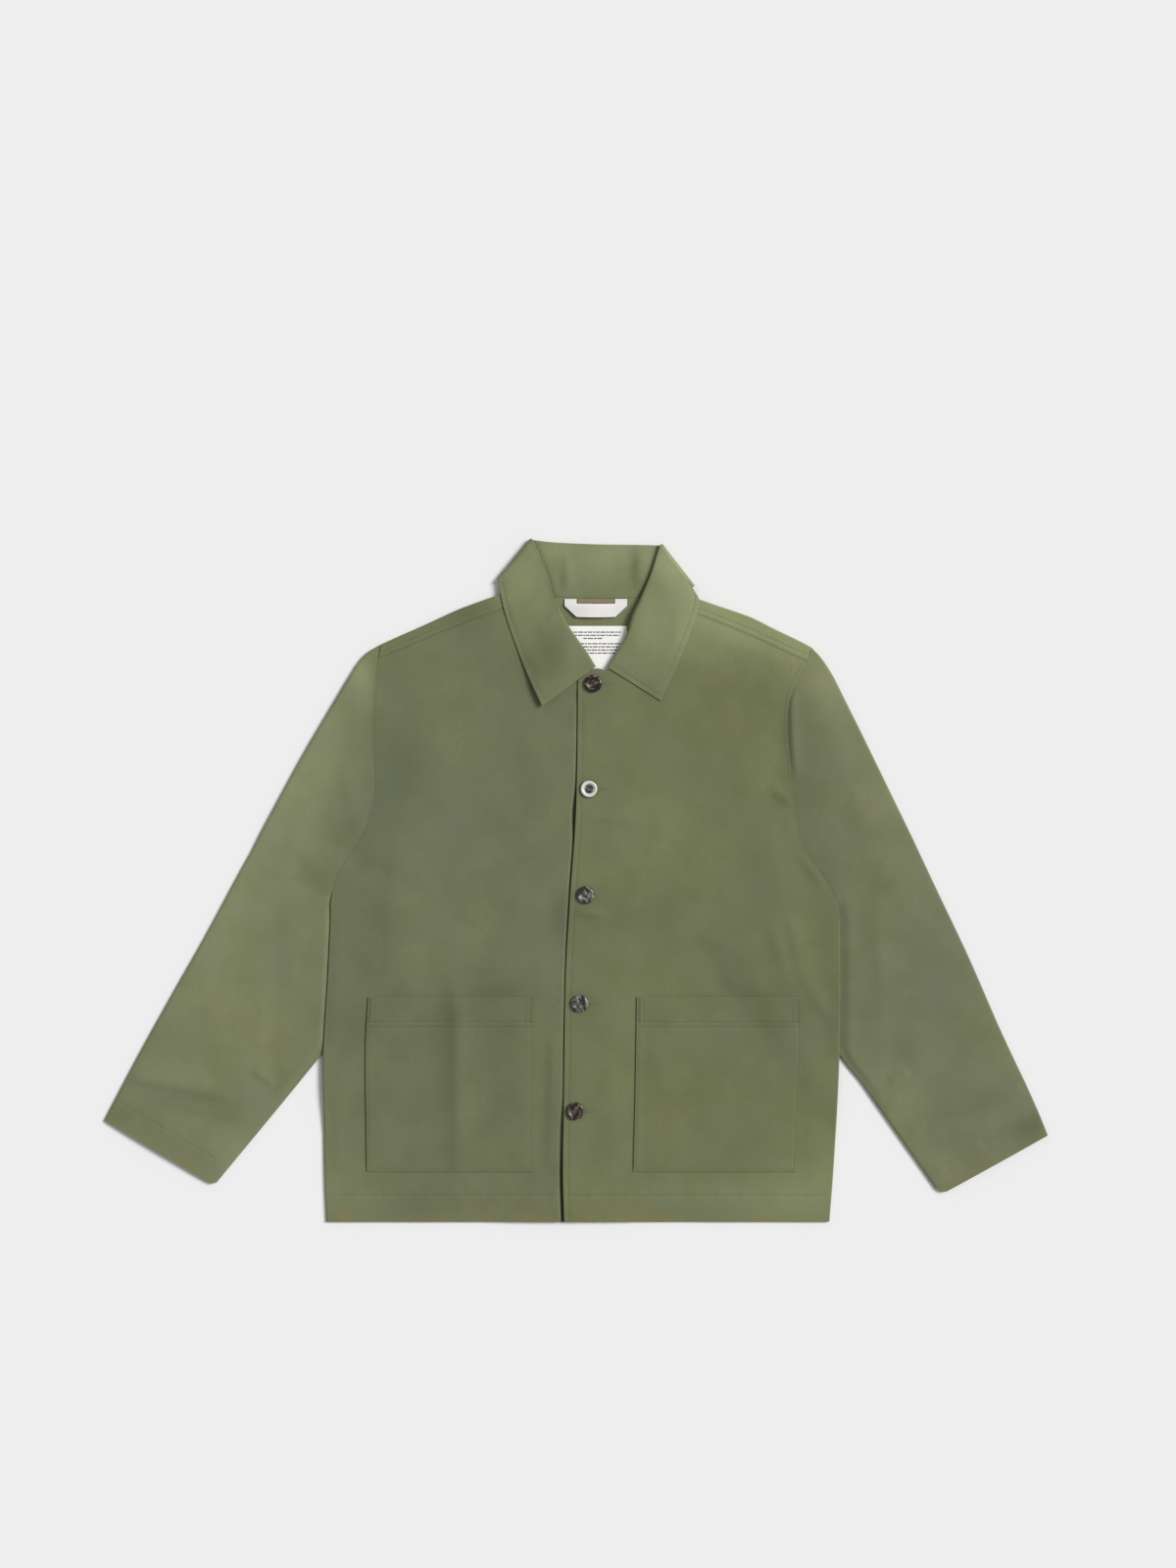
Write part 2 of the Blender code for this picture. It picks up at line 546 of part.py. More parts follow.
def collar():
    """The collar: one wall from the neck seam up the stand, over the roll and down to its outer edge.

    Its columns run from the viewer's left front end, round the fold at that side of the neck, along
    the back, round the other fold and to the right front end. In front the leaf lies over the stand,
    at the back the fall lies under it.
    """
    turn = np.linspace(np.pi / 2, -np.pi / 2, FOLD_STEPS + 2)[1:]
    runs, corners = [], {}
    for side in ("viewer_left", "viewer_right"):
        neck = neck_points(side)
        neck = neck + sideways(neck) * outward(side) * SEAM_GAP / 2
        neck = np.vstack([neck, COLLAR_NECK_CORNER[side]])
        shares = even(NECK_COLUMNS + 1)
        roll = along(COLLAR_ROLL[side], shares)
        edge = along(COLLAR_EDGE[side], shares)
        front_angle = np.full(len(neck), np.pi / 2)
        corners[side] = roll[-1]
        part = [np.vstack([p, np.repeat(p[-1:], len(turn), axis=0)]) for p in (neck, roll, edge)]
        runs.append((side, part, np.r_[front_angle, turn]))
    shares = even(BACK_NECK_COLUMNS)
    left_corner, right_corner = (runs[k][1] for k in (0, 1))
    neck = back_neck_points() + np.array([0.0, SEAM_GAP])
    roll = along(BACK_ROLL, shares)
    edge = along(BACK_COLLAR_EDGE, shares)
    for k, curve in enumerate((neck, roll, edge)):
        curve[0], curve[-1] = left_corner[k][-1], right_corner[k][-1]
    back_part = ("viewer_right", [neck, roll, edge], np.full(len(neck), -np.pi / 2))
    ordered = [runs[0], back_part, (runs[1][0], [p[::-1] for p in runs[1][1]], runs[1][2][::-1])]

    columns = []
    for side, (neck, roll, edge), angle in ordered:
        stand_q, leaf_q = even(STAND_ROWS), even(LEAF_ROWS)
        stand = neck[:, None] + stand_q[None, :, None] * (roll - neck)[:, None]
        leaf = roll[:, None] + leaf_q[None, :, None] * (edge - roll)[:, None]
        out = np.array(COLLAR_FOLD_OUT[side])
        stand = layered(stand, angle, out, side, top_height, back_height)
        leaf = layered(leaf, angle, out, side, leaf_height, fall_height)
        start, end = stand[:, -1], leaf[:, 0]
        apart = end - start
        ahead = roll_direction(neck, roll, edge, corners[side])
        radius = np.linalg.norm(apart, axis=1)[:, None, None] / 2
        theta = np.linspace(0.0, np.pi, ROLL_STEPS + 1)[1:-1][None, :, None]
        middle = (start + end)[:, None] / 2
        roll_rows = middle - apart[:, None] / 2 * np.cos(theta) + ahead[:, None] * radius * np.sin(theta)
        columns.append(np.concatenate([stand, roll_rows, leaf], axis=1))
    grid = np.vstack([columns[0], columns[1][1:-1], columns[2]])
    return cloth("collar", [grid], COLLAR_WALL, "canvas")


def fall_height(x, y):
    """Middle of the collar's fall behind the neck, where it lies on the ground."""
    return np.full(np.shape(x), COLLAR_WALL / 2)


def layered(plan, angle, out, side, upper_height, lower_height):
    """Points of the upper layer at a quarter turn up, of the lower one down, on a half-circle between."""
    x, y = plan[..., 0], plan[..., 1]
    upper, lower = upper_height(x, y, side), lower_height(x, y)
    half = (upper - lower) / 2
    turn = angle[:, None]
    place = plan + out * (half * np.cos(turn))[..., None]
    return np.concatenate([place, ((upper + lower) / 2 + half * np.sin(turn))[..., None]], axis=-1)


def roll_direction(neck, roll, edge, corner):
    """Level unit vectors across the roll, away from stand and leaf. At the side fold they run along it."""
    across = sideways(roll)
    facing = np.sum(across * (roll - neck), axis=1, keepdims=True)
    across = np.where(facing < 0, -across, across)
    at_fold = np.linalg.norm(roll - corner, axis=1) < 1e-6
    across[at_fold] = unit(roll - edge)[at_fold]
    return np.concatenate([across, np.zeros((len(across), 1))], axis=1)


def neck_label():
    """The label, flat on the inside of the back."""
    (x0, y0), (x1, y1) = LABEL_CORNERS
    x, y = np.meshgrid(np.linspace(x0, x1, 7), np.linspace(y0, y1, 6))
    lift = (WALL + TAPE_WALL) / 2 + TAPE_GAP
    grid = raised(np.stack([x, y], axis=-1), lambda x, y: back_height(x, y) + lift)
    return cloth("neck_label", [grid], TAPE_WALL, "white_tape")


def hanger_loop():
    """A tape whose band hangs in a shallow curve between two short legs sewn into the neck seam."""
    columns = np.r_[
        np.linspace(LOOP_LEFT, LOOP_LEFT + LOOP_LEG, 3),
        np.linspace(LOOP_LEFT + LOOP_LEG, LOOP_RIGHT - LOOP_LEG, 7)[1:-1],
        np.linspace(LOOP_RIGHT - LOOP_LEG, LOOP_RIGHT, 3),
    ]
    middle = (LOOP_LEFT + LOOP_RIGHT) / 2
    share = np.abs(columns - middle) / (LOOP_RIGHT - middle)
    slanted = np.clip((share - LOOP_CORNER_FROM) / (1.0 - LOOP_CORNER_FROM), 0.0, 1.0)
    low = LOOP_BOTTOM_Y + LOOP_SAG[0] * share**2 + LOOP_CORNER_CUT * slanted
    band_top = LOOP_BOTTOM_Y + LOOP_BAND + LOOP_SAG[1] * share
    rows = [low + (band_top - low) * t for t in even(3)]
    band = np.stack([np.stack([columns, y], axis=-1) for y in rows])
    lift = (WALL + TAPE_WALL) / 2 + TAPE_GAP

    def on_back(x, y):
        return back_height(x, y) + lift

    grids = [raised(band, on_back)]
    for first in (0, len(columns) - 3):
        foot = band[-1, first : first + 3]
        head = np.stack([foot[:, 0], np.full(3, LOOP_TOP_Y)], axis=-1)
        grids.append(raised(np.stack([foot, head]), on_back))
    return cloth("hanger_loop", grids, TAPE_WALL, "white_tape")


def material(name):
    """A plain finish, made once."""
    if name in bpy.data.materials:
        return bpy.data.materials[name]
    made = bpy.data.materials.new(name)
    made.use_nodes = True
    shader = made.node_tree.nodes["Principled BSDF"]
    colour, roughness = FINISHES[name]
    shader.inputs["Base Color"].default_value = (*[c**2.2 for c in colour], 1.0)
    shader.inputs["Roughness"].default_value = roughness
    return made


def cloth(name, grids, wall, finish):
    """An open surface from grids that share their edges' points, thickened evenly to both sides."""
    points, faces = [], []
    first = 0
    for grid in grids:
        rows, columns = grid.shape[:2]
        index = first + np.arange(rows * columns).reshape(rows, columns)
        quads = np.stack([index[:-1, :-1], index[:-1, 1:], index[1:, 1:], index[1:, :-1]], axis=-1)
        points.append(grid.reshape(-1, 3) * MM)
        faces.append(quads.reshape(-1, 4))
        first += rows * columns
    mesh = bpy.data.meshes.new(name)
    mesh.from_pydata(np.vstack(points).tolist(), [], np.vstack(faces).tolist())
    surface = bmesh.new()
    surface.from_mesh(mesh)
    bmesh.ops.remove_doubles(surface, verts=surface.verts, dist=1e-6)
    bmesh.ops.recalc_face_normals(surface, faces=surface.faces)
    surface.to_mesh(mesh)
    surface.free()
    mesh.shade_smooth()
    piece = bpy.data.objects.new(name, mesh)
    piece.data.materials.append(material(finish))
    jacket.objects.link(piece)
    thicken = piece.modifiers.new("wall", "SOLIDIFY")
    thicken.thickness = wall * MM
    thicken.offset = 0.0
    thicken.use_even_offset = True
    return piece


def button_mesh():
    """A turned disc with a raised rim and a dished middle, pierced by four thread holes."""
    radius, thick = BUTTON_DIAMETER / 2, BUTTON_THICKNESS
    rim = [(out * radius * MM, 0.0, up * thick * MM) for out, up in BUTTON_PROFILE]
    mesh = bpy.data.meshes.new("button")
    mesh.from_pydata(rim, [(i, i + 1) for i in range(len(rim) - 1)], [])
    turned = bpy.data.objects.new("turned", mesh)
    jacket.objects.link(turned)
    screw = turned.modifiers.new("turn", "SCREW")
    screw.steps = screw.render_steps = 28
    screw.use_merge_vertices = True
    screw.merge_threshold = 0.00001
    pins = bmesh.new()
    for k in range(4):
        angle = np.pi / 4 + k * np.pi / 2
        made = bmesh.ops.create_cone(
            pins,
            cap_ends=True,
            segments=10,
            radius1=THREAD_HOLE_RADIUS * MM,
            radius2=THREAD_HOLE_RADIUS * MM,
            depth=3 * thick * MM,
        )
        off = THREAD_HOLE_OFF * MM
        place = (off * np.cos(angle), off * np.sin(angle), thick * MM / 2)
        bmesh.ops.translate(pins, verts=made["verts"], vec=place)
    pin_mesh = bpy.data.meshes.new("pins")
    pins.to_mesh(pin_mesh)
    pins.free()
    cutter = bpy.data.objects.new("thread_holes", pin_mesh)
    cutter.hide_render = True
    cutter.display_type = "WIRE"
    cutters.objects.link(cutter)
    cut = turned.modifiers.new("holes", "BOOLEAN")
    cut.object = cutter
    cut.operation = "DIFFERENCE"
    cut.solver = "EXACT"
    bpy.context.view_layer.update()
    done = bpy.data.meshes.new_from_object(turned.evaluated_get(bpy.context.evaluated_depsgraph_get()))
    bpy.data.objects.remove(turned)
    bpy.data.objects.remove(cutter)
    done.materials.clear()
    done.materials.append(material("horn"))
    return done


def buttons():
    """Five buttons, each resting on the left front over its buttonhole."""
    mesh = button_mesh()
    ring = np.linspace(0.0, 2 * np.pi, 17)
    for number, (x, y) in enumerate(BUTTON_PLACES, 1):
        rim_x = x + BUTTON_DIAMETER / 2 * np.cos(ring)
        rim_y = y + BUTTON_DIAMETER / 2 * np.sin(ring)
        under = top_height(np.r_[x, rim_x], np.r_[y, rim_y], "viewer_right")
        piece = bpy.data.objects.new(f"button_{number}", mesh)
        piece.location = (x * MM, y * MM, (under.max() + WALL / 2 + LAYER_GAP) * MM)
        piece.rotation_euler = (0.0, 0.0, BUTTON_TURN * number)
        jacket.objects.link(piece)


def rest_at_origin():
    """Moves all pieces so that the middle of the underside of their bounding box is at the origin."""
    bpy.context.view_layer.update()
    graph = bpy.context.evaluated_depsgraph_get()
    corners = []
    for piece in jacket.objects:
        mesh = piece.evaluated_get(graph).to_mesh()
        points = np.empty(len(mesh.vertices) * 3, np.float32)
        mesh.vertices.foreach_get("co", points)
        turn = np.array(piece.matrix_world)
        points = points.reshape(-1, 3) @ turn[:3, :3].T + turn[:3, 3]
        corners += [points.min(axis=0), points.max(axis=0)]
    low, high = np.min(corners, axis=0), np.max(corners, axis=0)
    shift = [(low[0] + high[0]) / 2, (low[1] + high[1]) / 2, low[2]]
    for piece in jacket.objects:
        piece.location = [at - by for at, by in zip(piece.location, shift)]


for leftover in list(bpy.data.objects):
    bpy.data.objects.remove(leftover)
jacket = bpy.data.collections.new("work_jacket")
cutters = bpy.data.collections.new("cutters")
bpy.context.scene.collection.children.link(jacket)
bpy.context.scene.collection.children.link(cutters)

back()
_, left_panel = front("viewer_right", "front_left")
_, right_panel = front("viewer_left", "front_right")
sleeve("viewer_right", "sleeve_left")
sleeve("viewer_left", "sleeve_right")
collar()
pocket("pocket_left", left_panel)
pocket("pocket_right", right_panel)
neck_label()
hanger_loop()
buttons()
rest_at_origin()
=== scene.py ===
"""Looks of the work jacket: canvas panels with their seams, stitching, creases, buttons and tapes.

Sizes are in millimetres until a mesh is made. Each panel is a function of two parameters, u across
and v along it, worked out on a grid. "Left" and "right" in a piece's name are the wearer's.
"""

import functools

import bmesh
import bpy
import numpy as np
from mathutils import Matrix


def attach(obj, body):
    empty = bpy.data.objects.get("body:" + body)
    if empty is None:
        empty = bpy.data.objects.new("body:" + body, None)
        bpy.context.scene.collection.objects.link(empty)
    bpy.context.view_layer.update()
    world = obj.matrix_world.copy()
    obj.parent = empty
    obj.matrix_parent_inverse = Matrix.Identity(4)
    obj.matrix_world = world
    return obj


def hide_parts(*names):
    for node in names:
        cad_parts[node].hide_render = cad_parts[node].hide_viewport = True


MM = 0.001
PLACE = np.array([-0.0087, 1.0111, 0.0048])  # from the cutting table's origin to the frame's

# Cloth and how its layers lie, as in the solids.
WALL = 1.2
COLLAR_WALL = 1.4
TAPE_WALL = 1.0
SEAM_GAP = 0.14
TAPE_GAP = 0.5
SIDE_LIFT = 2.0
CHEST_PUFF = 1.1
NECK_LIFT = 1.4
OVERLAP_LIFT = 1.8
LEAF_LIFT = 2.2
COLLAR_RISE = 2.3
SLEEVE_RISE = 3.3
TUCKED_LIFT = 1.8
CUFF_LIFT = 2.2
SLEEVE_PUFF = 1.9
POCKET_LIFT = 1.5

HEM_Y = -382.0
NECK_X = 22.0
POCKET_BOTTOM_Y, POCKET_HEIGHT, POCKET_WIDTH = -325.5, 196.0, 189.0
FRONT_WIDTH, CAP_LENGTH, CUFF_WIDTH, LEAF_WIDTH = 285.0, 300.0, 144.0, 60.0

# How finely the half-circles at folds and the collar's stand are divided.
CURL_STEPS = 8
COLLAR_STAND = np.linspace(0.0, 1.0, 12)

SIDE_SEAM = {
    "viewer_right": ((284, -382), (288, -331), (292, -265), (295, -193), (296, -111), (295, -34)),
    "viewer_left": (
        (-280, -382), (-282, -331), (-283, -265), (-284, -193), (-279, -107), (-275, -24),
    ),
}
ARMHOLE = {
    "viewer_right": (
        (295, -34), (290, -14), (275, 10), (254, 43), (244, 98),
        (239, 142), (237, 169), (238, 197), (246, 221), (259, 246),
    ),
    "viewer_left": (
        (-275, -24), (-270, 1), (-259, 24), (-238, 56), (-227, 92),
        (-226, 120), (-228, 153), (-228, 191), (-226, 219), (-222, 249),
    ),
}
SHOULDER_FOLD = {
    "viewer_right": (
        (120, 322), (135, 317), (155, 310), (179, 302),
        (198, 295), (224, 282), (251, 269), (264, 262),
    ),
    "viewer_left": (
        (-76, 324), (-90, 320), (-118, 310), (-136, 303), (-173, 286), (-198, 275), (-220, 265),
    ),
}
SHOULDER_SEAM = {
    "viewer_right": (
        (121, 305), (136, 299), (166, 287), (193, 276), (213, 267), (243, 253), (259, 246),
    ),
    "viewer_left": ((-77, 307), (-90, 302), (-118, 292), (-153, 278), (-186, 264), (-222, 249)),
}
FRONT_NECK = {
    "viewer_right": ((37, 235), (63, 240), (92, 261), (110, 283), (121, 305)),
    "viewer_left": ((13, 229), (-18, 238), (-46, 258), (-65, 283), (-77, 307)),
}
FRONT_TOP = {
    "viewer_right": ((2, 225), (20, 238), (37, 235)),
    "viewer_left": ((33, 226), (13, 229)),
}
FRONT_EDGE = {
    "viewer_right": (
        (-13.6, -382), (-15, -324), (-14, -250), (-12, -111),
        (-7, -20), (-1, 65), (1, 131), (2, 225),
    ),
    "viewer_left": ((16, -382), (19, -221), (20, -130), (26, -1), (31, 109), (33, 226)),
}
BACK_NECK = ((-76, 322), (-47, 319), (22, 317), (92, 318), (120, 320))
SLEEVE_TOP_EDGE = {
    "viewer_right": (
        (264, 262), (272, 253), (280, 242), (289, 227),
        (299, 207), (321, 163), (364, 75), (390, 21),
    ),
    "viewer_left": (
        (-220, 265), (-234, 256), (-243, 246), (-252, 232),
        (-273, 197), (-308, 138), (-346, 68), (-366, 30),
    ),
}
SLEEVE_OUTER_EDGE = {
    "viewer_right": (
        (390, 21), (406, -13), (441, -87), (475, -165), (505, -229), (518, -258), (529, -285),
    ),
    "viewer_left": ((-366, 30), (-381, 3), (-416, -62), (-450, -122), (-490, -194), (-529, -268)),
}
SLEEVE_INNER_EDGE = {
    "viewer_right": ((215, -80), (295, -195), (321, -228), (359, -282), (393, -330), (408, -352)),
    "viewer_left": ((-188, -76), (-284, -193), (-344, -266), (-406, -341)),
}
NOTCH = {"viewer_right": (295, -195), "viewer_left": (-284, -193)}
COLLAR_ROLL = {
    "viewer_right": ((36, 239), (58, 273), (65, 292), (74, 315), (86, 347), (94.4, 374.8)),
    "viewer_left": ((20, 239), (9, 256), (-11, 285), (-27, 318), (-33, 341), (-49.4, 380.9)),
}
COLLAR_EDGE = {
    "viewer_right": ((95, 202), (117, 250), (135, 298), (138, 314), (130, 329)),
    "viewer_left": ((-38, 196), (-57, 238), (-76, 289), (-84, 319), (-86, 336)),
}
COLLAR_NECK_CORNER = {"viewer_right": (117.6, 320.5), "viewer_left": (-73.6, 322.5)}
COLLAR_FOLD_OUT = {"viewer_right": (0.80, 0.60), "viewer_left": (-0.79, 0.61)}
BACK_ROLL = ((-49.4, 380.9), (-23, 378), (23, 376), (64, 375.4), (94.4, 374.8))
BACK_COLLAR_EDGE = ((-86, 336), (-64, 333), (22, 330), (107, 328), (127, 328))

# Shares of a front's width at the columns where its top edge turns from the front's own edge to the
# neckline and then to the shoulder seam, and where its pocket begins and ends.
FRONT_COLUMNS = {
    "viewer_right": (
        0.0, 0.07, 0.14, 0.2, 0.262, 0.36, 0.46, 0.56,
        0.66, 0.76, 0.864, 0.9, 0.935, 0.965, 1.0,
    ),
    "viewer_left": (
        0.0, 0.055, 0.11, 0.165, 0.222, 0.326, 0.43, 0.534,
        0.638, 0.742, 0.846, 0.885, 0.925, 0.962, 1.0,
    ),
}
COLLAR_END_COLUMN, NECK_COLUMN, SHOULDER_COLUMN = 2, 7, 14
POCKET_COLUMNS = (4, 10)

SIDES = {"viewer_right": "left", "viewer_left": "right"}
# How much painted shade darkens each sleeve near the body, bringing it near the body's colour.
SLEEVE_SHADE = {"viewer_right": 0.05, "viewer_left": 0.16}
# How high a sleeve rises beside the body, and over what width.
BESIDE_BODY = {"viewer_right": (2.2, 13.0), "viewer_left": (3.8, 4.6)}
# Painted shade inside the collar's rolls: how dark, how far in, how wide, and from which height up.
ROLL_PAINTED_SHADE = (("viewer_left", 0.36, 2.4, 2.8, 296.0), ("viewer_right", 0.4, 3.4, 3.0, 300.0))

# Largest folds, as in the solids: x0, y0, x1, y1, height, half width.
BODY_FOLDS = (
    (210, 40, 262, -140, 1.3, 24), (176, 190, 200, 90, 0.9, 26), (170, -100, 236, -112, 0.6, 16),
    (-190, 140, -186, -110, 1.2, 24), (-236, -60, -226, -300, 0.7, 18),
    (-138, -140, -140, -300, 1.1, 18), (-60, -170, -46, -330, 0.8, 16),
    (96, -200, 104, -340, 0.6, 20),
)
SLEEVE_FOLDS = (
    (300, 130, 372, -40, 1.1, 20), (372, -10, 440, -150, 0.9, 22), (424, -240, 506, -226, 0.9, 14),
    (330, -70, 386, -200, 0.7, 18), (-292, 110, -352, -30, 1.1, 20),
    (-352, -60, -430, -180, 0.9, 22), (-500, -206, -410, -232, 0.9, 14),
    (-320, -60, -362, -170, 0.7, 18),
)

# Smaller creases laid on top: x0, y0, x1, y1, height (a trough with a minus), half width, bow.
FRONT_CREASES = (
    (-205, 52, -207, -117, 1.7, 20, 4), (-167, 191, -163, 70, 1.6, 29, -3),
    (-137, -118, -134, -330, 1.8, 11, 3), (-27, -166, -31, -320, 1.3, 9, 2),
    (-167, -105, -29, -96, 0.9, 11, 3), (4, 70, 70, 68, 1.5, 8, 2), (0, -36, 31, -39, 1.5, 6, 1),
    (219, 102, 246, 84, 1.9, 7, 1), (253, 28, 284, -12, 1.5, 10, 2),
    (237, -40, 250, -102, 1.2, 9, 2), (248, -95, 296, -166, 1.5, 10, -3),
    (218, -52, 234, -113, 0.7, 8, 2), (163, -111, 213, -116, 1.7, 12, -2),
    (180, -80, 233, -76, 0.8, 15, 3), (-75, -34, -31, -30, 0.5, 13, 2),
    (-146, -337, -125, -375, 0.6, 9, 2), (57, 109, 123, 153, 0.5, 24, 9),
    (57, -7, 112, 21, 0.6, 18, 6), (35, -177, 26, -309, 0.4, 13, 3),
    (266, -221, 262, -331, 0.5, 10, -3), (-267, -320, -260, -221, 0.5, 10, 3),
    (140, -243, 162, -309, 0.4, 15, 4), (-31, 142, -53, 43, 0.5, 20, -6),
    (202, 202, 211, 131, 0.9, 18, -3),
)
SLEEVE_CREASES = (
    (-517, -220, -387, -244, 1.7, 10, 4), (-442, -254, -376, -265, 0.8, 8, 1),
    (-363, -213, -339, -228, 1.3, 7, 1), (-348, 9, -277, 2, 1.0, 8, 2),
    (-392, -4, -375, -9, 1.0, 7, 1), (-293, -34, -317, -122, 0.7, 14, -6),
    (-260, 131, -238, 43, 0.9, 11, -3), (-421, -122, -361, -95, 0.6, 18, 6),
    (-350, -133, -359, -188, 0.6, 11, 2), (398, -262, 505, -227, 1.7, 10, -4),
    (416, -287, 475, -272, 0.7, 8, 1), (351, -227, 374, -215, 1.3, 7, 1),
    (306, 0, 363, 0, 0.9, 7, 1), (391, -7, 414, -11, 1.0, 7, 1), (243, 218, 245, 116, 1.8, 7, -3),
    (326, -45, 343, -122, 0.7, 14, 6), (376, -122, 431, -144, 0.6, 18, -6),
    (308, 109, 317, 43, 0.6, 13, 3),
)
BACK_CREASES = (
    (-160, 180, -40, -40, 0.8, 30, 20), (150, 160, 60, -60, 0.8, 30, -20),
    (-60, -120, -90, -330, 0.7, 26, 12), (120, -140, 140, -320, 0.7, 26, -10),
)
LEAF_CREASES = (
    (-24, 300, -43, 277, 0.8, 6, 2), (-15, 227, -5, 218, 0.9, 4, 1),
    (-52, 262, -34, 232, 0.5, 9, -3), (112, 300, 104, 262, 0.5, 8, 3),
)
COLLAR_CREASES = (
    (-14, 366, -12, 322, 0.9, 6, 3), (73, 374, 70, 330, 1.1, 6, -3),
    (28, 370, 30, 330, 0.25, 14, 2),
)

# Clouds in the dye and the fading, and painted light and shade: paler towards the shoulders, the
# collar and the outer edges where the light falls, darker in creases, armpits and beside the
# collar's tip. x, y, half width and height, turn in degrees, levels paler.
DYE_AND_PAINTED_LIGHT_CLOUDS = (
    (-300, 165, 40, 85, -28, 15), (-236, 222, 14, 33, 0, 3), (-380, 5, 50, 165, -28, 8),
    (-471, -177, 66, 44, 0, -3), (-443, -245, 66, 15, -12, -4), (-388, -309, 29, 29, 0, 6),
    (-515, -265, 20, 15, 0, -6), (-262, 65, 29, 55, 0, -2), (308, 186, 29, 66, 25, 10),
    (270, 232, 24, 33, 0, 10), (349, 87, 22, 66, 25, 4), (272, 131, 18, 66, 0, -2),
    (409, -122, 66, 77, 0, -2), (453, -245, 55, 15, 17, -4), (510, -274, 18, 15, 0, -7),
    (360, -254, 26, 44, -35, 6), (411, -326, 24, 20, 0, 6), (-200, 125, 26, 55, 0, -5),
    (-227, -34, 18, 82, 0, -4), (-130, -155, 121, 50, 0, -4), (-146, -205, 9, 77, 0, -4),
    (-138, -148, 13, 14, 0, -6), (-100, -122, 48, 9, 0, -5), (262, 8, 9, 20, 35, -7),
    (230, 92, 14, 6, -30, -5), (-75, -243, 88, 77, 0, -2), (-251, -161, 26, 20, 0, -5),
    (-262, -342, 33, 33, 0, 8), (-185, -359, 66, 22, 0, 3), (-58, 230, 24, 29, 0, -4),
    (57, -40, 66, 29, 0, -4), (92, 65, 33, 37, 0, 4), (189, -111, 44, 40, 0, -3),
    (255, -122, 33, 55, 0, -4), (288, -155, 9, 33, 0, -8), (167, -243, 88, 66, 0, -2),
    (244, -353, 66, 31, 0, 13), (123, -348, 77, 18, 0, 5), (200, 180, 33, 44, 0, -4),
    (283, -51, 13, 48, 0, -6), (236, 153, 7, 55, 0, -9), (222, 274, 66, 29, -20, 19),
    (140, 301, 44, 33, 0, 17), (123, 268, 66, 24, 0, 6), (-124, 301, 33, 18, 0, -5),
    (-163, 263, 55, 33, 0, 2), (228, 43, 33, 66, 0, -2), (-66, 336, 33, 40, 0, 9),
    (-31, 252, 18, 29, 0, -8), (112, 334, 22, 44, 0, 2), (90, 280, 26, 44, 0, 0.5),
    (134, 262, 24, 33, 0, 2), (79, 219, 33, 22, 0, -2), (24, 362, 55, 24, 0, 15),
    (-16, 340, 5, 15, 0, -7), (67, 356, 7, 20, 0, -12), (105, 355, 20, 28, 38, 24),
    (-30, 373, 22, 12, 0, 10), (54, 372, 30, 9, 0, 7), (129, 323, 10, 14, 0, 6),
    (-245, 236, 15, 20, 0, 12), (282, -309, 13, 40, 0, 6), (-9, -378, 20, 9, 0, -5),
    (-398, -250, 30, 34, 0, -5), (384, -308, 20, 20, 0, 5), (326, -232, 18, 24, -35, 5),
    (-296, 150, 18, 40, -28, -7), (-470, -288, 44, 22, -32, -6), (-412, -318, 22, 20, 0, -5),
    (-28, -292, 13, 60, 0, -6), (-174, -362, 36, 22, 0, -7), (314, 168, 16, 34, 25, -6),
    (505, -284, 22, 18, 0, -5), (-17, -42, 12, 30, 0, -9),
)
DYE_AND_PAINTED_LIGHT_STRENGTH = 1.12 / 115.0  # share of the cloth's colour to a level

# Cooler parts of the dye, and warmer ones with a minus: x, y, half width and height, turn, share.
TINT_CLOUDS = (
    (266, 232, 36, 40, 0, -1.0), (-236, 250, 30, 30, 0, -0.5), (-458, -249, 42, 36, 0, 0.8),
    (41, 44, 42, 34, 0, 0.7), (7, -180, 22, 40, 0, 0.5), (247, -163, 34, 34, 0, 0.7),
    (436, -188, 30, 34, 0, 0.6), (367, -266, 34, 40, 0, -0.8), (-122, 146, 34, 50, 0, -0.5),
    (-97, -188, 30, 26, 0, -0.4), (-183, -42, 44, 44, 0, 0.4),
)

# Sewing, in millimetres from the edge or seam that each row of stitches follows.
EDGE_STITCH = 6.0
HEM_STITCH = 30.0
POCKET_EDGE_STITCH = 2.2
POCKET_HEM_STITCHES = (28.5, 34.0)
SEAM_STITCHES = (1.6, 7.4)
CUFF_STITCH = 27.0
COLLAR_EDGE_STITCH = 6.0
STITCH_PITCH, STITCH_LENGTH, STITCH_RADIUS = 3.1, 2.3, 0.27
GROOVE_DEPTH, GROOVE_HALF = 0.34, 1.1
COLLAR_GROOVE = 0.35
SLIT_LENGTH, SLIT_HALF_GAP, SLIT_OFF = 24.0, 1.3, 9.0
THREAD_WRAP = 0.62

BUTTONS = (
    # x, y, turn of the thread holes, horn
    (19.0, 221.4, 0.3, "brown"),
    (14.3, 103.4, 0.9, "ringed"),
    (10.4, -15.4, 1.4, "grey"),
    (3.9, -137.0, 2.1, "grey"),
    (-1.1, -257.4, 2.9, "brown"),
)
# Dark and pale colour of a horn, its share of pale (-1 to 1), and how much paler the rim is with a
# painted reflection.
HORNS = {
    "brown": ((0.08, 0.058, 0.04), (0.50, 0.43, 0.37), -0.15, 0.0),
    "grey": ((0.15, 0.15, 0.135), (0.56, 0.555, 0.52), 0.0, 0.0),
    "ringed": ((0.25, 0.24, 0.25), (0.56, 0.54, 0.56), 0.1, 1.0),
}
BUTTON_RADIUS, BUTTON_THICKNESS = 9.8, 3.2
BUTTON_REST = (7.86, 6.40, 6.40, 6.40, 6.40)  # heights of their undersides in the solids
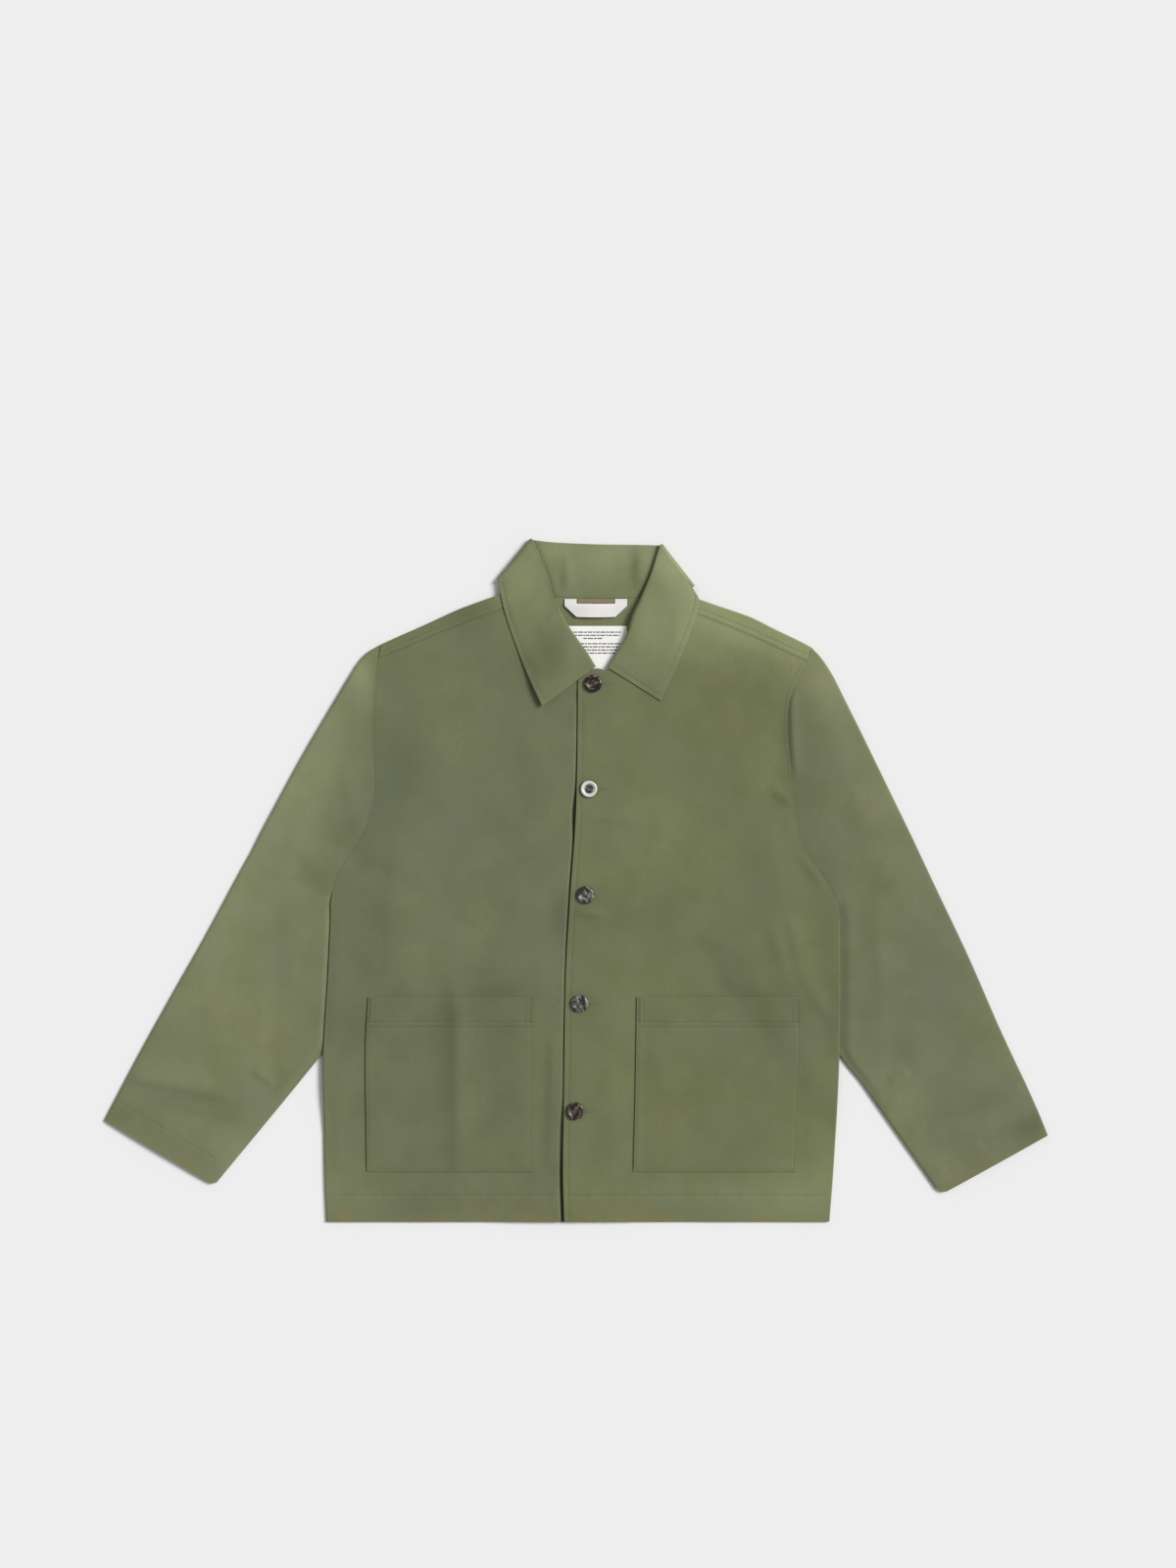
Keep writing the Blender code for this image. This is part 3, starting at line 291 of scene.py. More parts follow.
# A button from the middle of its face over the rim to the middle of its back: shares out and up.
BUTTON_PROFILE = (
    (0.00, 0.62), (0.44, 0.62), (0.56, 0.68), (0.64, 0.84), (0.71, 0.965), (0.78, 1.00),
    (0.86, 0.97), (0.93, 0.88), (0.98, 0.74), (1.00, 0.60), (0.99, 0.44), (0.95, 0.28),
    (0.87, 0.12), (0.78, 0.03), (0.70, 0.00), (0.00, 0.00),
)
THREAD_HOLE_OFF, THREAD_HOLE_RADIUS = 2.65, 0.95

# How high the collar stands at its tip and in its roll, and how far a cuff's corner is rounded.
TIP_LIFT = {"viewer_left": 4.8, "viewer_right": 0.0}
ROLL_LIFT = {"viewer_left": 0.0, "viewer_right": 5.0}
CUFF_CORNER = {"viewer_right": 9.0, "viewer_left": 3.5}

LABEL_X, LABEL_Y = (-13.0, 57.0), (231.0, 286.0)
LOOP_LEFT, LOOP_RIGHT = -13.0, 57.0
LOOP_TOP_Y, LOOP_BOTTOM_Y = 316.2, 295.5
LOOP_LEG, LOOP_BAND = 13.5, 15.0
NECK_TAPE_Y = (311.4, 316.0)
TAPE_LIFT = (WALL + TAPE_WALL) / 2 + TAPE_GAP
# The label's rows of woven bars: where each row starts and ends.
LABEL_BARS = (
    (-6.0, 50.0), (-2.0, 49.0), (8.0, 30.0), (4.0, 50.0), (8.0, 47.0), (9.0, 46.0), (11.0, 44.0),
)
LABEL_BAR_PITCH, LABEL_BAR_HEIGHT = 3.5, 1.3

# Mean canvas colours, sRGB 0 to 1. They differ partly as the cloth's own fading and partly as
# painted light: the sleeves and collar paler than the fronts.
CANVAS = {
    "back": (0.478, 0.499, 0.350),
    "front_left": (0.457, 0.474, 0.332),
    "front_right": (0.450, 0.467, 0.343),
    "sleeve_left": (0.468, 0.482, 0.356),
    "sleeve_right": (0.492, 0.508, 0.370),
    "collar": (0.482, 0.501, 0.362),
    "pocket_left": (0.455, 0.472, 0.332),
    "pocket_right": (0.445, 0.462, 0.338),
}
THREAD_COLOUR = (0.41, 0.43, 0.31)
PALE_THREAD_COLOUR = (0.465, 0.485, 0.345)
HOLE_THREAD_COLOUR = (0.40, 0.42, 0.31)
BUTTON_THREAD_COLOUR = (0.33, 0.32, 0.24)
TAPE_COLOUR = (0.93, 0.915, 0.915)
LABEL_COLOUR = (1.0, 0.995, 0.975)
BAR_COLOUR = (0.38, 0.37, 0.38)
BROWN_TAPE_COLOUR = (0.56, 0.50, 0.38)
# Colour of the painted reflection on a button's rim.
RIM_GLARE_COLOUR = (0.87, 0.86, 0.81)

# Factors on a cloth's colour where its dye is cooler or deeper, and where it is rubbed or soiled.
COOLER = np.array([0.965, 0.985, 1.05])
DEEPER = np.array([0.94, 0.945, 0.93])
RUBBED = np.array([1.07, 1.0, 0.955])
SOILED = np.array([0.965, 0.96, 0.95])
CANVAS_FINISH = {
    "Roughness": 0.88, "Specular IOR Level": 0.25, "Sheen Weight": 0.12, "Sheen Roughness": 0.5,
}
# How the noise is stretched along the warp and along the weft.
THREAD_SLUBS = ((1500.0, 70.0, 1.0), (70.0, 1500.0, 1.0))


def ease(t):
    """0 to 1 with no slope at either end."""
    t = np.clip(t, 0.0, 1.0)
    return t * t * (3.0 - 2.0 * t)


def bell(off, width):
    """1 where off is nothing, falling smoothly to about a third at the width and on towards 0."""
    return np.exp(-((off / width) ** 2))


def pairs(a, b):
    """Two arrays spread to one shape and set side by side in a last axis."""
    return np.stack(np.broadcast_arrays(a, b), axis=-1)


def net(u, v):
    """Every u with every v: columns and rows of a grid."""
    return np.broadcast_arrays(u[None, :], v[:, None])


def with_height(plan, height):
    """Points on the page with their height beside them."""
    return np.concatenate([plan, height[..., None]], axis=-1)


def running_length(points):
    """A path's length up to each of its points."""
    return np.r_[0.0, np.cumsum(np.linalg.norm(np.diff(points, axis=0), axis=1))]


@functools.lru_cache(maxsize=None)
def traced(points):
    """Close points of a Catmull-Rom curve through the given ones, with their running length."""
    p = np.asarray(points, float)
    if len(p) == 2:
        p = p[0] + np.linspace(0.0, 1.0, 33)[:, None] * (p[1] - p[0])
        return p, np.linalg.norm(p - p[0], axis=1)
    ends = np.vstack([2 * p[0] - p[1], p, 2 * p[-1] - p[-2]])
    t = np.linspace(0.0, 1.0, 17)[:-1, None]
    spans = []
    for a, b, c, d in zip(ends, ends[1:], ends[2:], ends[3:]):
        squared = a - 2.5 * b + 2 * c - 0.5 * d
        cubed = 0.5 * (3 * b - a - 3 * c + d)
        spans.append(b + 0.5 * t * (c - a) + t**2 * squared + t**3 * cubed)
    fine = np.vstack([*spans, p[-1:]])
    return fine, running_length(fine)


def along(points, share):
    """The curve's points at shares of its length, for an array of any shape."""
    fine, length = traced(points)
    at = np.asarray(share) * length[-1]
    return np.stack([np.interp(at, length, fine[:, k]) for k in (0, 1)], axis=-1)


def length_of(points):
    """Length of the curve through the points."""
    return traced(points)[1][-1]


def sideways(points, share):
    """Unit vectors to the left of the curve's direction, at shares of its length."""
    share = np.asarray(share, float)
    ahead, behind = np.minimum(share + 0.01, 1.0), np.maximum(share - 0.01, 0.0)
    run = unit(along(points, ahead) - along(points, behind))
    return np.stack([-run[..., 1], run[..., 0]], axis=-1)


def at_height(points, y):
    """The points of a rising curve at heights y on the page."""
    fine, _ = traced(points)
    return np.stack([np.interp(y, fine[:, 1], fine[:, 0]), y], axis=-1)


def x_at(points, y):
    """How far across the page a rising curve is at heights y."""
    return at_height(points, y)[..., 0]


def armpit(side):
    """The height on the page where the side seam ends and the armhole begins."""
    return ARMHOLE[side][0][1]


def unit(vectors):
    """Vectors divided by their length."""
    return vectors / np.linalg.norm(vectors, axis=-1, keepdims=True)


def outward(side):
    """1 or -1: the way across the page from the middle to that side."""
    return 1.0 if side == "viewer_right" else -1.0


def beyond(x, y, a, b, inside):
    """Distance from the line through a and b, positive on the side away from the point inside."""
    across = np.array([b[1] - a[1], a[0] - b[0]], float)
    across /= np.linalg.norm(across)
    if (inside[0] - a[0]) * across[0] + (inside[1] - a[1]) * across[1] > 0:
        across = -across
    return (x - a[0]) * across[0] + (y - a[1]) * across[1]


def folds(x, y, table):
    """Sum of soft ridges: full height along each line, a bell across it and past its ends."""
    height = np.zeros(np.shape(x))
    for x0, y0, x1, y1, top, half_width in table:
        dx, dy = x1 - x0, y1 - y0
        t = np.clip(((x - x0) * dx + (y - y0) * dy) / (dx * dx + dy * dy), 0.0, 1.0)
        off = np.hypot(x - x0 - t * dx, y - y0 - t * dy)
        height += top * bell(off, half_width)
    return height


def creases(x, y, table):
    """Sum of bowed creases: steeper on one side than on the other, dying out towards both ends."""
    height = np.zeros(np.shape(x))
    for x0, y0, x1, y1, top, half_width, bow in table:
        run = np.hypot(x1 - x0, y1 - y0)
        ux, uy = (x1 - x0) / run, (y1 - y0) / run
        t = ((x - x0) * ux + (y - y0) * uy) / run
        bowed = bow * np.sin(np.pi * np.clip(t, 0, 1)) + 0.18 * bow * np.sin(3 * np.pi * t)
        off = (y - y0) * ux - (x - x0) * uy - bowed
        width = half_width * np.where(off > 0, 1.3, 0.75) * (0.7 + 0.3 * np.clip(t, 0, 1))
        fade = ease((t + 0.12) / 0.4) * ease((1.12 - t) / 0.4)
        height += top * fade * bell(off, width)
    return height


def ripple(x, y, wavelength, height, seed, count=7):
    """Uneven small waves: sines of turned directions and neighbouring lengths, added up."""
    total = 0.0
    for k in range(count):
        angle = 2.399963 * (k + seed)
        length = wavelength * (0.72 + 0.11 * ((k * 5 + seed * 3) % 7))
        phase = 1.7 * k * k + 0.9 * seed
        total = total + np.sin(2 * np.pi * (x * np.cos(angle) + y * np.sin(angle)) / length + phase)
    return height * total / np.sqrt(count)


def clouds(x, y, table):
    """Sum of soft ellipses: each one's amount times a bell over its two half widths, turned."""
    total = np.zeros(np.shape(x))
    for cx, cy, half_width, half_height, turn, amount in table:
        cos, sin = np.cos(np.radians(turn)), np.sin(np.radians(turn))
        across = ((x - cx) * cos + (y - cy) * sin) / half_width
        up = ((y - cy) * cos - (x - cx) * sin) / half_height
        total += amount * np.exp(-(across**2 + up**2))
    return total


def dye_and_painted_light(x, y):
    """How much paler or darker the cloth is from dye and painted light: a factor on its colour in
    linear light.
    """
    return (1.0 + DYE_AND_PAINTED_LIGHT_STRENGTH * clouds(x, y, DYE_AND_PAINTED_LIGHT_CLOUDS)) ** 2.2


def groove(off):
    """The cloth drawn down along a row of stitches."""
    return -GROOVE_DEPTH * bell(off, GROOVE_HALF)


def pucker(run, off, height, spread, seed):
    """Waves across a sewn line that are uneven along it and die out away from it."""
    return ripple(run, 0.35 * off, 15.0, height, seed, 5) * bell(off, spread)


def back_height(x, y):
    """Middle of the back: on the ground, raised over the tucked sleeves and the collar's fall."""
    rise = np.zeros(np.shape(x))
    for side in SIDE_SEAM:
        arm, tuck, notch = ARMHOLE[side][0], SLEEVE_INNER_EDGE[side][0], NOTCH[side]
        past = np.maximum(beyond(x, y, arm, tuck, notch), beyond(x, y, tuck, notch, arm))
        rise = np.maximum(rise, SLEEVE_RISE * ease(1.0 - (past - 26.0) / 38.0))
    aside = np.maximum(np.abs(x - NECK_X) - 104.0, 0.0)
    below = np.maximum(304.0 - y, 0.0)
    return WALL / 2 + rise + COLLAR_RISE * ease(1.0 - np.hypot(aside, below) / 80.0)


def front_middle(x, y):
    """How far inside a front a point is: 0 at its sides, hem and shoulder, 1 in its middle."""
    shoulder = 318.0 - 0.3 * np.abs(x - NECK_X)
    sides = ease((290.0 - x) / 70.0) * ease((x + 280.0) / 70.0)
    return sides * ease((y - HEM_Y) / 50.0) * ease((shoulder - y) / 60.0)


def top_height(x, y, side):
    """Middle of the named front, with the left one lifted where it laps over the right one."""
    over_label = ease(1.0 - (np.hypot(x - NECK_X, (y - 262.0) * 0.9) - 42.0) / 48.0)
    puff = (CHEST_PUFF + folds(x, y, BODY_FOLDS)) * front_middle(x, y)
    lapped = 1.0 - ease((x - 36.0) / 44.0) if side == "viewer_right" else 0.0
    return back_height(x, y) + SIDE_LIFT + puff + NECK_LIFT * over_label + OVERLAP_LIFT * lapped


def leaf_height(x, y, side):
    """Middle of the collar's leaf, over its own front and over the end of the left one."""
    under = top_height(x, y, side)
    if side == "viewer_left":
        under = under + OVERLAP_LIFT * ease((x + 36.0) / 30.0)
    return under + LEAF_LIFT


def front_top(side, u):
    """A front's upper edge: its own end, then the neckline and then the shoulder seam."""
    at = np.interp(u, FRONT_COLUMNS[side], np.arange(SHOULDER_COLUMN + 1.0))
    own = along(FRONT_TOP[side], at / COLLAR_END_COLUMN)
    neck_share = np.clip((at - COLLAR_END_COLUMN) / (NECK_COLUMN - COLLAR_END_COLUMN), 0.0, 1.0)
    neck = along(FRONT_NECK[side], neck_share)
    neck = neck - sideways(FRONT_NECK[side], neck_share) * outward(side) * SEAM_GAP / 2
    seam_share = np.clip((at - NECK_COLUMN) / (SHOULDER_COLUMN - NECK_COLUMN), 0.0, 1.0)
    seam = along(SHOULDER_SEAM[side], seam_share) - np.array([0.0, SEAM_GAP / 2])
    at = at[..., None]
    return np.where(at < COLLAR_END_COLUMN, own, np.where(at < NECK_COLUMN, neck, seam))


def body_side(side, v, inset, shift):
    """A body panel's outer edge: v is -1 at the hem, 0 at the armpit and 1 at the shoulder seam."""
    armpit_y = armpit(side)
    low_y = armpit_y + np.minimum(v, 0.0) * (armpit_y - HEM_Y)
    low = at_height(SIDE_SEAM[side], low_y)
    near = ease((low_y - armpit_y + 16.0) / 12.0)
    low[..., 0] -= outward(side) * (inset + (shift - inset) * near)
    high_share = np.maximum(v, 0.0)
    high = along(ARMHOLE[side], high_share)
    high = high + sideways(ARMHOLE[side], high_share) * outward(side) * shift
    return np.where(v[..., None] < 0.0, low, high)


def front_plan(side, u, v):
    """A front on the page, and its width at each row.

    Rows run straight from its edge to its side, and towards the top they bend to the upper edge.
    """
    armpit_y, top_y = armpit(side), FRONT_TOP[side][0][1]
    y = armpit_y + np.minimum(v, 0.0) * (armpit_y - HEM_Y) + np.maximum(v, 0.0) * (top_y - armpit_y)
    edge = at_height(FRONT_EDGE[side], y)
    outer = body_side(side, v, (SIDE_LIFT + WALL) / 2, SEAM_GAP / 2)
    one = np.ones(np.shape(u))
    first = at_height(FRONT_EDGE[side], top_y * one)
    last = body_side(side, one, 0.0, SEAM_GAP / 2)
    chord = first + u[..., None] * (last - first)
    bent = (np.maximum(v, 0.0) ** 2)[..., None] * (front_top(side, u) - chord)
    width = np.linalg.norm(outer - edge, axis=-1)
    return edge + u[..., None] * (outer - edge) + bent, width


def armhole_ditch(off):
    """The cloth beside an armhole seam: down into the seam, and swelling up away from it."""
    swell = (1.0 - bell(off, 24.0)) * bell(off, 95.0)
    return 1.7 * swell - 0.3 * bell(off, 4.5)


def lap_gap(y):
    """Width of the dark slit that shows beside the left front's edge."""
    below_second = 3.0 * bell(y - 77.0, 24.0)
    above_third = 0.8 * bell(y + 5.0, 40.0)
    return 1.0 + below_second + above_third + 2.6 * ease((-225.0 - y) / 60.0)


def lap_rise(x, y):
    """The right front beside that slit: risen level with the edge, steep where it goes under."""
    off = x_at(FRONT_EDGE["viewer_right"], y) - x
    shown = ease((off - lap_gap(y)) / 2.2) * (1.0 - ease((off - 26.0) / 70.0))
    return 2.1 * shown * ease((212.0 - y) / 34.0)


def front_point(side, u, v):
    """Middle surface of a front, with its creases, puckered seams and stitched-down edges."""
    u, v = np.broadcast_arrays(np.asarray(u, float), np.asarray(v, float))
    plan, width = front_plan(side, u, v)
    x, y = plan[..., 0], plan[..., 1]
    from_edge, from_side, from_hem = u * width, (1.0 - u) * width, y - HEM_Y
    seed = 2 if side == "viewer_right" else 5
    inside = ease(from_side / 16.0) * ease((1.0 - v) / 0.06)
    z = top_height(x, y, side)
    z += (creases(x, y, FRONT_CREASES) + ripple(x, y, 105.0, 0.16, seed)) * inside
    z += ripple(x, y, 33.0, 0.05, seed + 3) * inside
    z += groove(from_edge - EDGE_STITCH) * ease((0.995 - v) / 0.01)
    z += groove(from_hem - HEM_STITCH) * ease((from_side - 2.0) / 4.0)
    z += pucker(x, from_hem - HEM_STITCH, 0.16, 11.0, seed) * ease(from_side / 12.0)
    z += pucker(y, from_edge - EDGE_STITCH, 0.13, 8.0, seed + 1) * ease(from_hem / 6.0)
    z += armhole_ditch(from_side) * ease(v / 0.12) * ease((1.0 - v) / 0.05)
    shoulder_off = (1.0 - v) * 300.0
    on_shoulder = ease((u - FRONT_COLUMNS[side][NECK_COLUMN]) / 0.06)
    z += 0.5 * bell(shoulder_off - 13.0, 8.0) * on_shoulder * ease(from_side / 12.0)
    z -= 0.15 * bell(shoulder_off, 2.0) * on_shoulder
    if side == "viewer_left":
        z += lap_rise(x, y)
        beside_sleeve = ease((armpit(side) - 4.0 - y) / 20.0) * ease((y - NOTCH[side][1]) / 14.0)
        z -= 0.8 * bell(from_side, 6.0) * beside_sleeve
    else:
        loose = bell(y - 52.0, 44.0) + 0.9 * bell(y + 345.0, 40.0)
        loose += 0.35 * bell(y + 70.0, 30.0) + 0.35 * bell(y + 196.0, 30.0)
        z += 1.5 * loose * bell(from_edge, 15.0)
        for button_x, button_y, *_ in BUTTONS:
            off = np.hypot(x - button_x - 2.0, y - button_y)
            z -= 0.35 * bell(off, 11.0)
            z += 0.35 * bell(y - button_y + 19.0, 6.0) * bell(x - button_x - 6.0, 18.0)
    return np.stack([x, y, z], axis=-1)


def skirt_v(side, y):
    """The v of a height on the page below the armpit."""
    armpit_y = armpit(side)
    return (np.asarray(y, float) - armpit_y) / (armpit_y - HEM_Y)


def bend(start, out, end_height):
    """Half-circles from points at their own height to another one, bulging along out."""
    radius = (end_height - start[:, 2]) / 2.0
    angle = np.linspace(-np.pi / 2, np.pi / 2, CURL_STEPS + 1)[1:, None]
    plan = start[None, :, :2] + out[None] * np.abs(radius * np.cos(angle))[..., None]
    return with_height(plan, start[None, :, 2] + radius + radius * np.sin(angle))


def spaced(length, step, marks=(), near_ends=()):
    """Positions from 0 to length about a step apart, closer round each mark and near the ends."""
    base = np.linspace(0.0, length, max(2, int(round(length / step)) + 1))
    close = [m + o for m in marks for o in (-1.7, -0.85, 0.0, 0.85, 1.7)]
    close += [o for o in near_ends] + [length - o for o in near_ends]
    close = np.array([c for c in close if 0.0 < c < length])
    if len(close) == 0:
        return base
    gap = np.abs(base[:, None] - close[None]).min(axis=1)
    keep = (gap > 0.45) | (base == 0.0) | (base == length)
    return np.unique(np.r_[base[keep], close].round(4))


def shares(length, step, marks=(), near_ends=()):
    """The same positions as shares of the length."""
    return spaced(length, step, marks, near_ends) / length


def off_body(side, x, y):
    """How far outside the body's side seam, or its armhole further up, a place is."""
    seam = x_at(SIDE_SEAM[side], y)
    armhole = x_at(ARMHOLE[side], y)
    return outward(side) * (x - np.where(y < armpit(side), seam, armhole))


def shade_of(piece, x, y):
    """Dye clouds with painted light at a place, times what darkens one piece alone.

    That is painted shade in the strip under the left front's edge and in the crevices of the
    collar's two rolls, a darker patch on the back's wrap beside the right front, and painted shade
    on each sleeve, bringing its colour near the body's towards the armhole.
    """
    factor = dye_and_painted_light(x, y)
    if piece == "front_right_cloth":
        # Painted shade in the slit under the left front's edge.
        off = x_at(FRONT_EDGE["viewer_right"], y) - x
        factor *= 1.0 - 0.75 * ease((lap_gap(y) + 1.1 - off) / 1.2) * ease((225.0 - y) / 20.0)
    if piece == "collar_cloth":
        # Painted shade in the crevices of the collar's two rolls.
        for side, dark, middle, width, low_y in ROLL_PAINTED_SHADE:
            off = -outward(side) * (x - x_at(COLLAR_ROLL[side], y))
            factor *= 1.0 - dark * bell(off - middle, width) * ease((y - low_y) / 16.0)
    if piece == "back_cloth":
        # Darker on the back's wrap beside the right front.
        factor *= 1.0 - 0.13 * ease((-78.0 - x) / 24.0) * ease((y - 236.0) / 16.0)
    # Painted shade on each sleeve near the body's side seam and armhole.
    for side, hand in SIDES.items():
        if piece == f"sleeve_{hand}_cloth":
            near = bell(off_body(side, x, y), 42.0) * (0.45 + 0.55 * ease((y + 60.0) / 80.0))
            factor *= 1.0 - SLEEVE_SHADE[side] * near
    return factor


def mesh_of(name, grids, merged=True):
    """One mesh from (points, cloth coordinates, wear) grids that share their edges' points."""
    points, faces, cloth_uv, wear = [], [], [], []
    first = 0
    for grid, uv, rubbed in grids:
        rows, columns = grid.shape[:2]
        index = first + np.arange(rows * columns).reshape(rows, columns)
        corners = [index[:-1, :-1], index[:-1, 1:], index[1:, 1:], index[1:, :-1]]
        points.append(grid.reshape(-1, 3))
        faces.append(np.stack(corners, axis=-1).reshape(-1, 4))
        cloth_uv.append(np.broadcast_to(uv, (rows, columns, 2)).reshape(-1, 2) * MM)
        wear.append(np.broadcast_to(rubbed, (rows, columns)).ravel())
        first += rows * columns
    points, faces = np.vstack(points), np.vstack(faces)
    mesh = bpy.data.meshes.new(name)
    mesh.from_pydata(((points + PLACE) * MM).tolist(), [], faces.tolist())
    layer = mesh.uv_layers.new(name="cloth")
    layer.data.foreach_set("uv", np.vstack(cloth_uv)[faces.ravel()].astype(np.float32).ravel())
    x, y = points[:, 0], points[:, 1]
    kept = {
        "wear": np.concatenate(wear),
        # Dye clouds with painted light and shade, and painted shade on single pieces.
        "dye_and_painted_light": shade_of(name, x, y),
        "tint": clouds(x, y, TINT_CLOUDS),
    }
    for key, values in kept.items():
        attribute = mesh.attributes.new(key, "FLOAT", "POINT")
        attribute.data.foreach_set("value", values.astype(np.float32))
    if merged:
        surface = bmesh.new()
        surface.from_mesh(mesh)
        bmesh.ops.remove_doubles(surface, verts=surface.verts, dist=2e-6)
        bmesh.ops.recalc_face_normals(surface, faces=surface.faces)
        surface.to_mesh(mesh)
        surface.free()
    mesh.shade_smooth()
    return mesh


def placed(name, data):
    """A new object in the scene, at the origin."""
    thing = bpy.data.objects.new(name, data)
    bpy.context.scene.collection.objects.link(thing)
    return thing


def add_piece(name, mesh, material):
    """Puts a mesh into the scene as a piece that rides on the jacket."""
    piece = placed(name, mesh)
    mesh.materials.clear()
    mesh.materials.append(material)
    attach(piece, "root")
    return piece


def thickened(piece, thickness, even=False):
    """The piece with a wall, half of it to each side of its surface."""
    wall = piece.modifiers.new("wall", "SOLIDIFY")
    wall.thickness = thickness * MM
    wall.offset = 0.0
    wall.use_even_offset = even
    return piece


def cloth_piece(node, grids, wall, material, rim=0.4):
    """An open surface with a cloth's wall and rounded cut edges, in place of its solid."""
    name = f"{node}_cloth"
    piece = thickened(add_piece(name, mesh_of(name, grids), material), wall, True)
    rounding = piece.modifiers.new("rim", "BEVEL")
    rounding.width = rim * MM
    rounding.segments = 2
    rounding.limit_method = "ANGLE"
    rounding.angle_limit = 1.0
    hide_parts(node)
    return piece


def worn(off):
    """Wear from 0 to 1: strongest on an edge or fold, gone some millimetres away from it."""
    return bell(off, 3.2)


def front_cloth(side, node, material):
    """A front panel and the curl of its side fold down to the back panel."""
    skirt = shares(armpit(side) - HEM_Y, 3.6, [HEM_STITCH], (0.5, 1.1, 2.0)) - 1.0
    v = np.r_[skirt[:-1], shares(260.0, 3.6, [], (0.6, 1.4, 2.6, 4.4))]
    at_lap = [] if side == "viewer_right" else list(np.arange(25.0, 44.0, 1.7))
    u = shares(FRONT_WIDTH, 3.4, [EDGE_STITCH, *at_lap], (0.5, 1.1, 2.0, 3.2))
    grid = front_point(side, u[None, :], v[:, None])
    plan, across = front_plan(side, *net(u, v))
    free_side = ease((NOTCH[side][1] + 4.0 - plan[..., 1]) / 14.0)
    wear = worn((plan[..., 1] - HEM_Y) / 4.0) + 0.5 * worn((1.0 - u) * across / 2.0) * free_side
    uv = pairs(u[None, :] * FRONT_WIDTH, grid[..., 1])
    low = v < skirt_v(side, armpit(side) - 8.0)
    brim = grid[low, -1]
    curl = bend(brim, np.array([[outward(side), 0.0]]), back_height(brim[:, 0], brim[:, 1]))
    curl = np.vstack([brim[None], curl])
    curl_uv = pairs(FRONT_WIDTH + np.arange(len(curl))[:, None] * 0.4, brim[None, :, 1])
    grids = [(grid, uv, wear.clip(0, 1)), (curl, curl_uv, 0.5 * free_side[low, -1])]
    return cloth_piece(node, grids, WALL, material)


def pocket_point(side, u, v):
    """The pocket over its front: v from 0 at its bottom to 1 at its mouth, which stands off.

    Its height is the front's, plus a rise at the mouth and inside its edges, less sewing grooves.
    """
    first, last = (FRONT_COLUMNS[side][k] for k in POCKET_COLUMNS)
    y = POCKET_BOTTOM_Y + v * POCKET_HEIGHT
    point = front_point(side, first + u * (last - first), skirt_v(side, y))
    from_side = np.minimum(u, 1.0 - u) * POCKET_WIDTH
    from_left = (u if side == "viewer_right" else 1.0 - u) * POCKET_WIDTH
    down, up = (1.0 - v) * POCKET_HEIGHT, v * POCKET_HEIGHT
    seed = 3 if side == "viewer_right" else 6
    z = POCKET_LIFT + 0.9 * ease(from_side / 40.0) * bell(down, 60.0)
    z = z + 0.45 * ease(from_side / 24.0) * ease(up / 24.0)
    for row, depth in zip(POCKET_HEM_STITCHES, (1.2, 1.9)):
        z = z + depth * groove(down - row) * ease((from_side - 1.0) / 2.0)
    z = z + pucker(u * POCKET_WIDTH, down - POCKET_HEM_STITCHES[0], 0.12, 9.0, seed)
    z = z + groove(np.minimum(from_side, up) - POCKET_EDGE_STITCH)
    z = z - 0.25 * bell(np.minimum(from_side, up), 1.2)
    point[..., 2] += z + 0.45 * bell(from_left, 6.0) * ease(up / 12.0)
    return point


def pocket_cloth(side, node, material):
    """A patch pocket with a turned hem at its mouth."""
    near = (0.5, 1.1, 1.7, 2.2, 2.8, 3.6)
    u = shares(POCKET_WIDTH, 3.4, [], near)
    v = shares(POCKET_HEIGHT, 3.4, [POCKET_HEIGHT - row for row in POCKET_HEM_STITCHES], near)
    grid = pocket_point(side, u[None, :], v[:, None])
    uv = pairs(u[None, :] * POCKET_WIDTH + 37.0, v[:, None] * POCKET_HEIGHT + 11.0)
    from_side, from_end = np.minimum(u, 1 - u) * POCKET_WIDTH, np.minimum(v, 1 - v) * POCKET_HEIGHT
    wear = 0.3 * worn(np.minimum(from_side[None, :], from_end[:, None]))
    return cloth_piece(node, [(grid, uv, wear)], WALL, material)


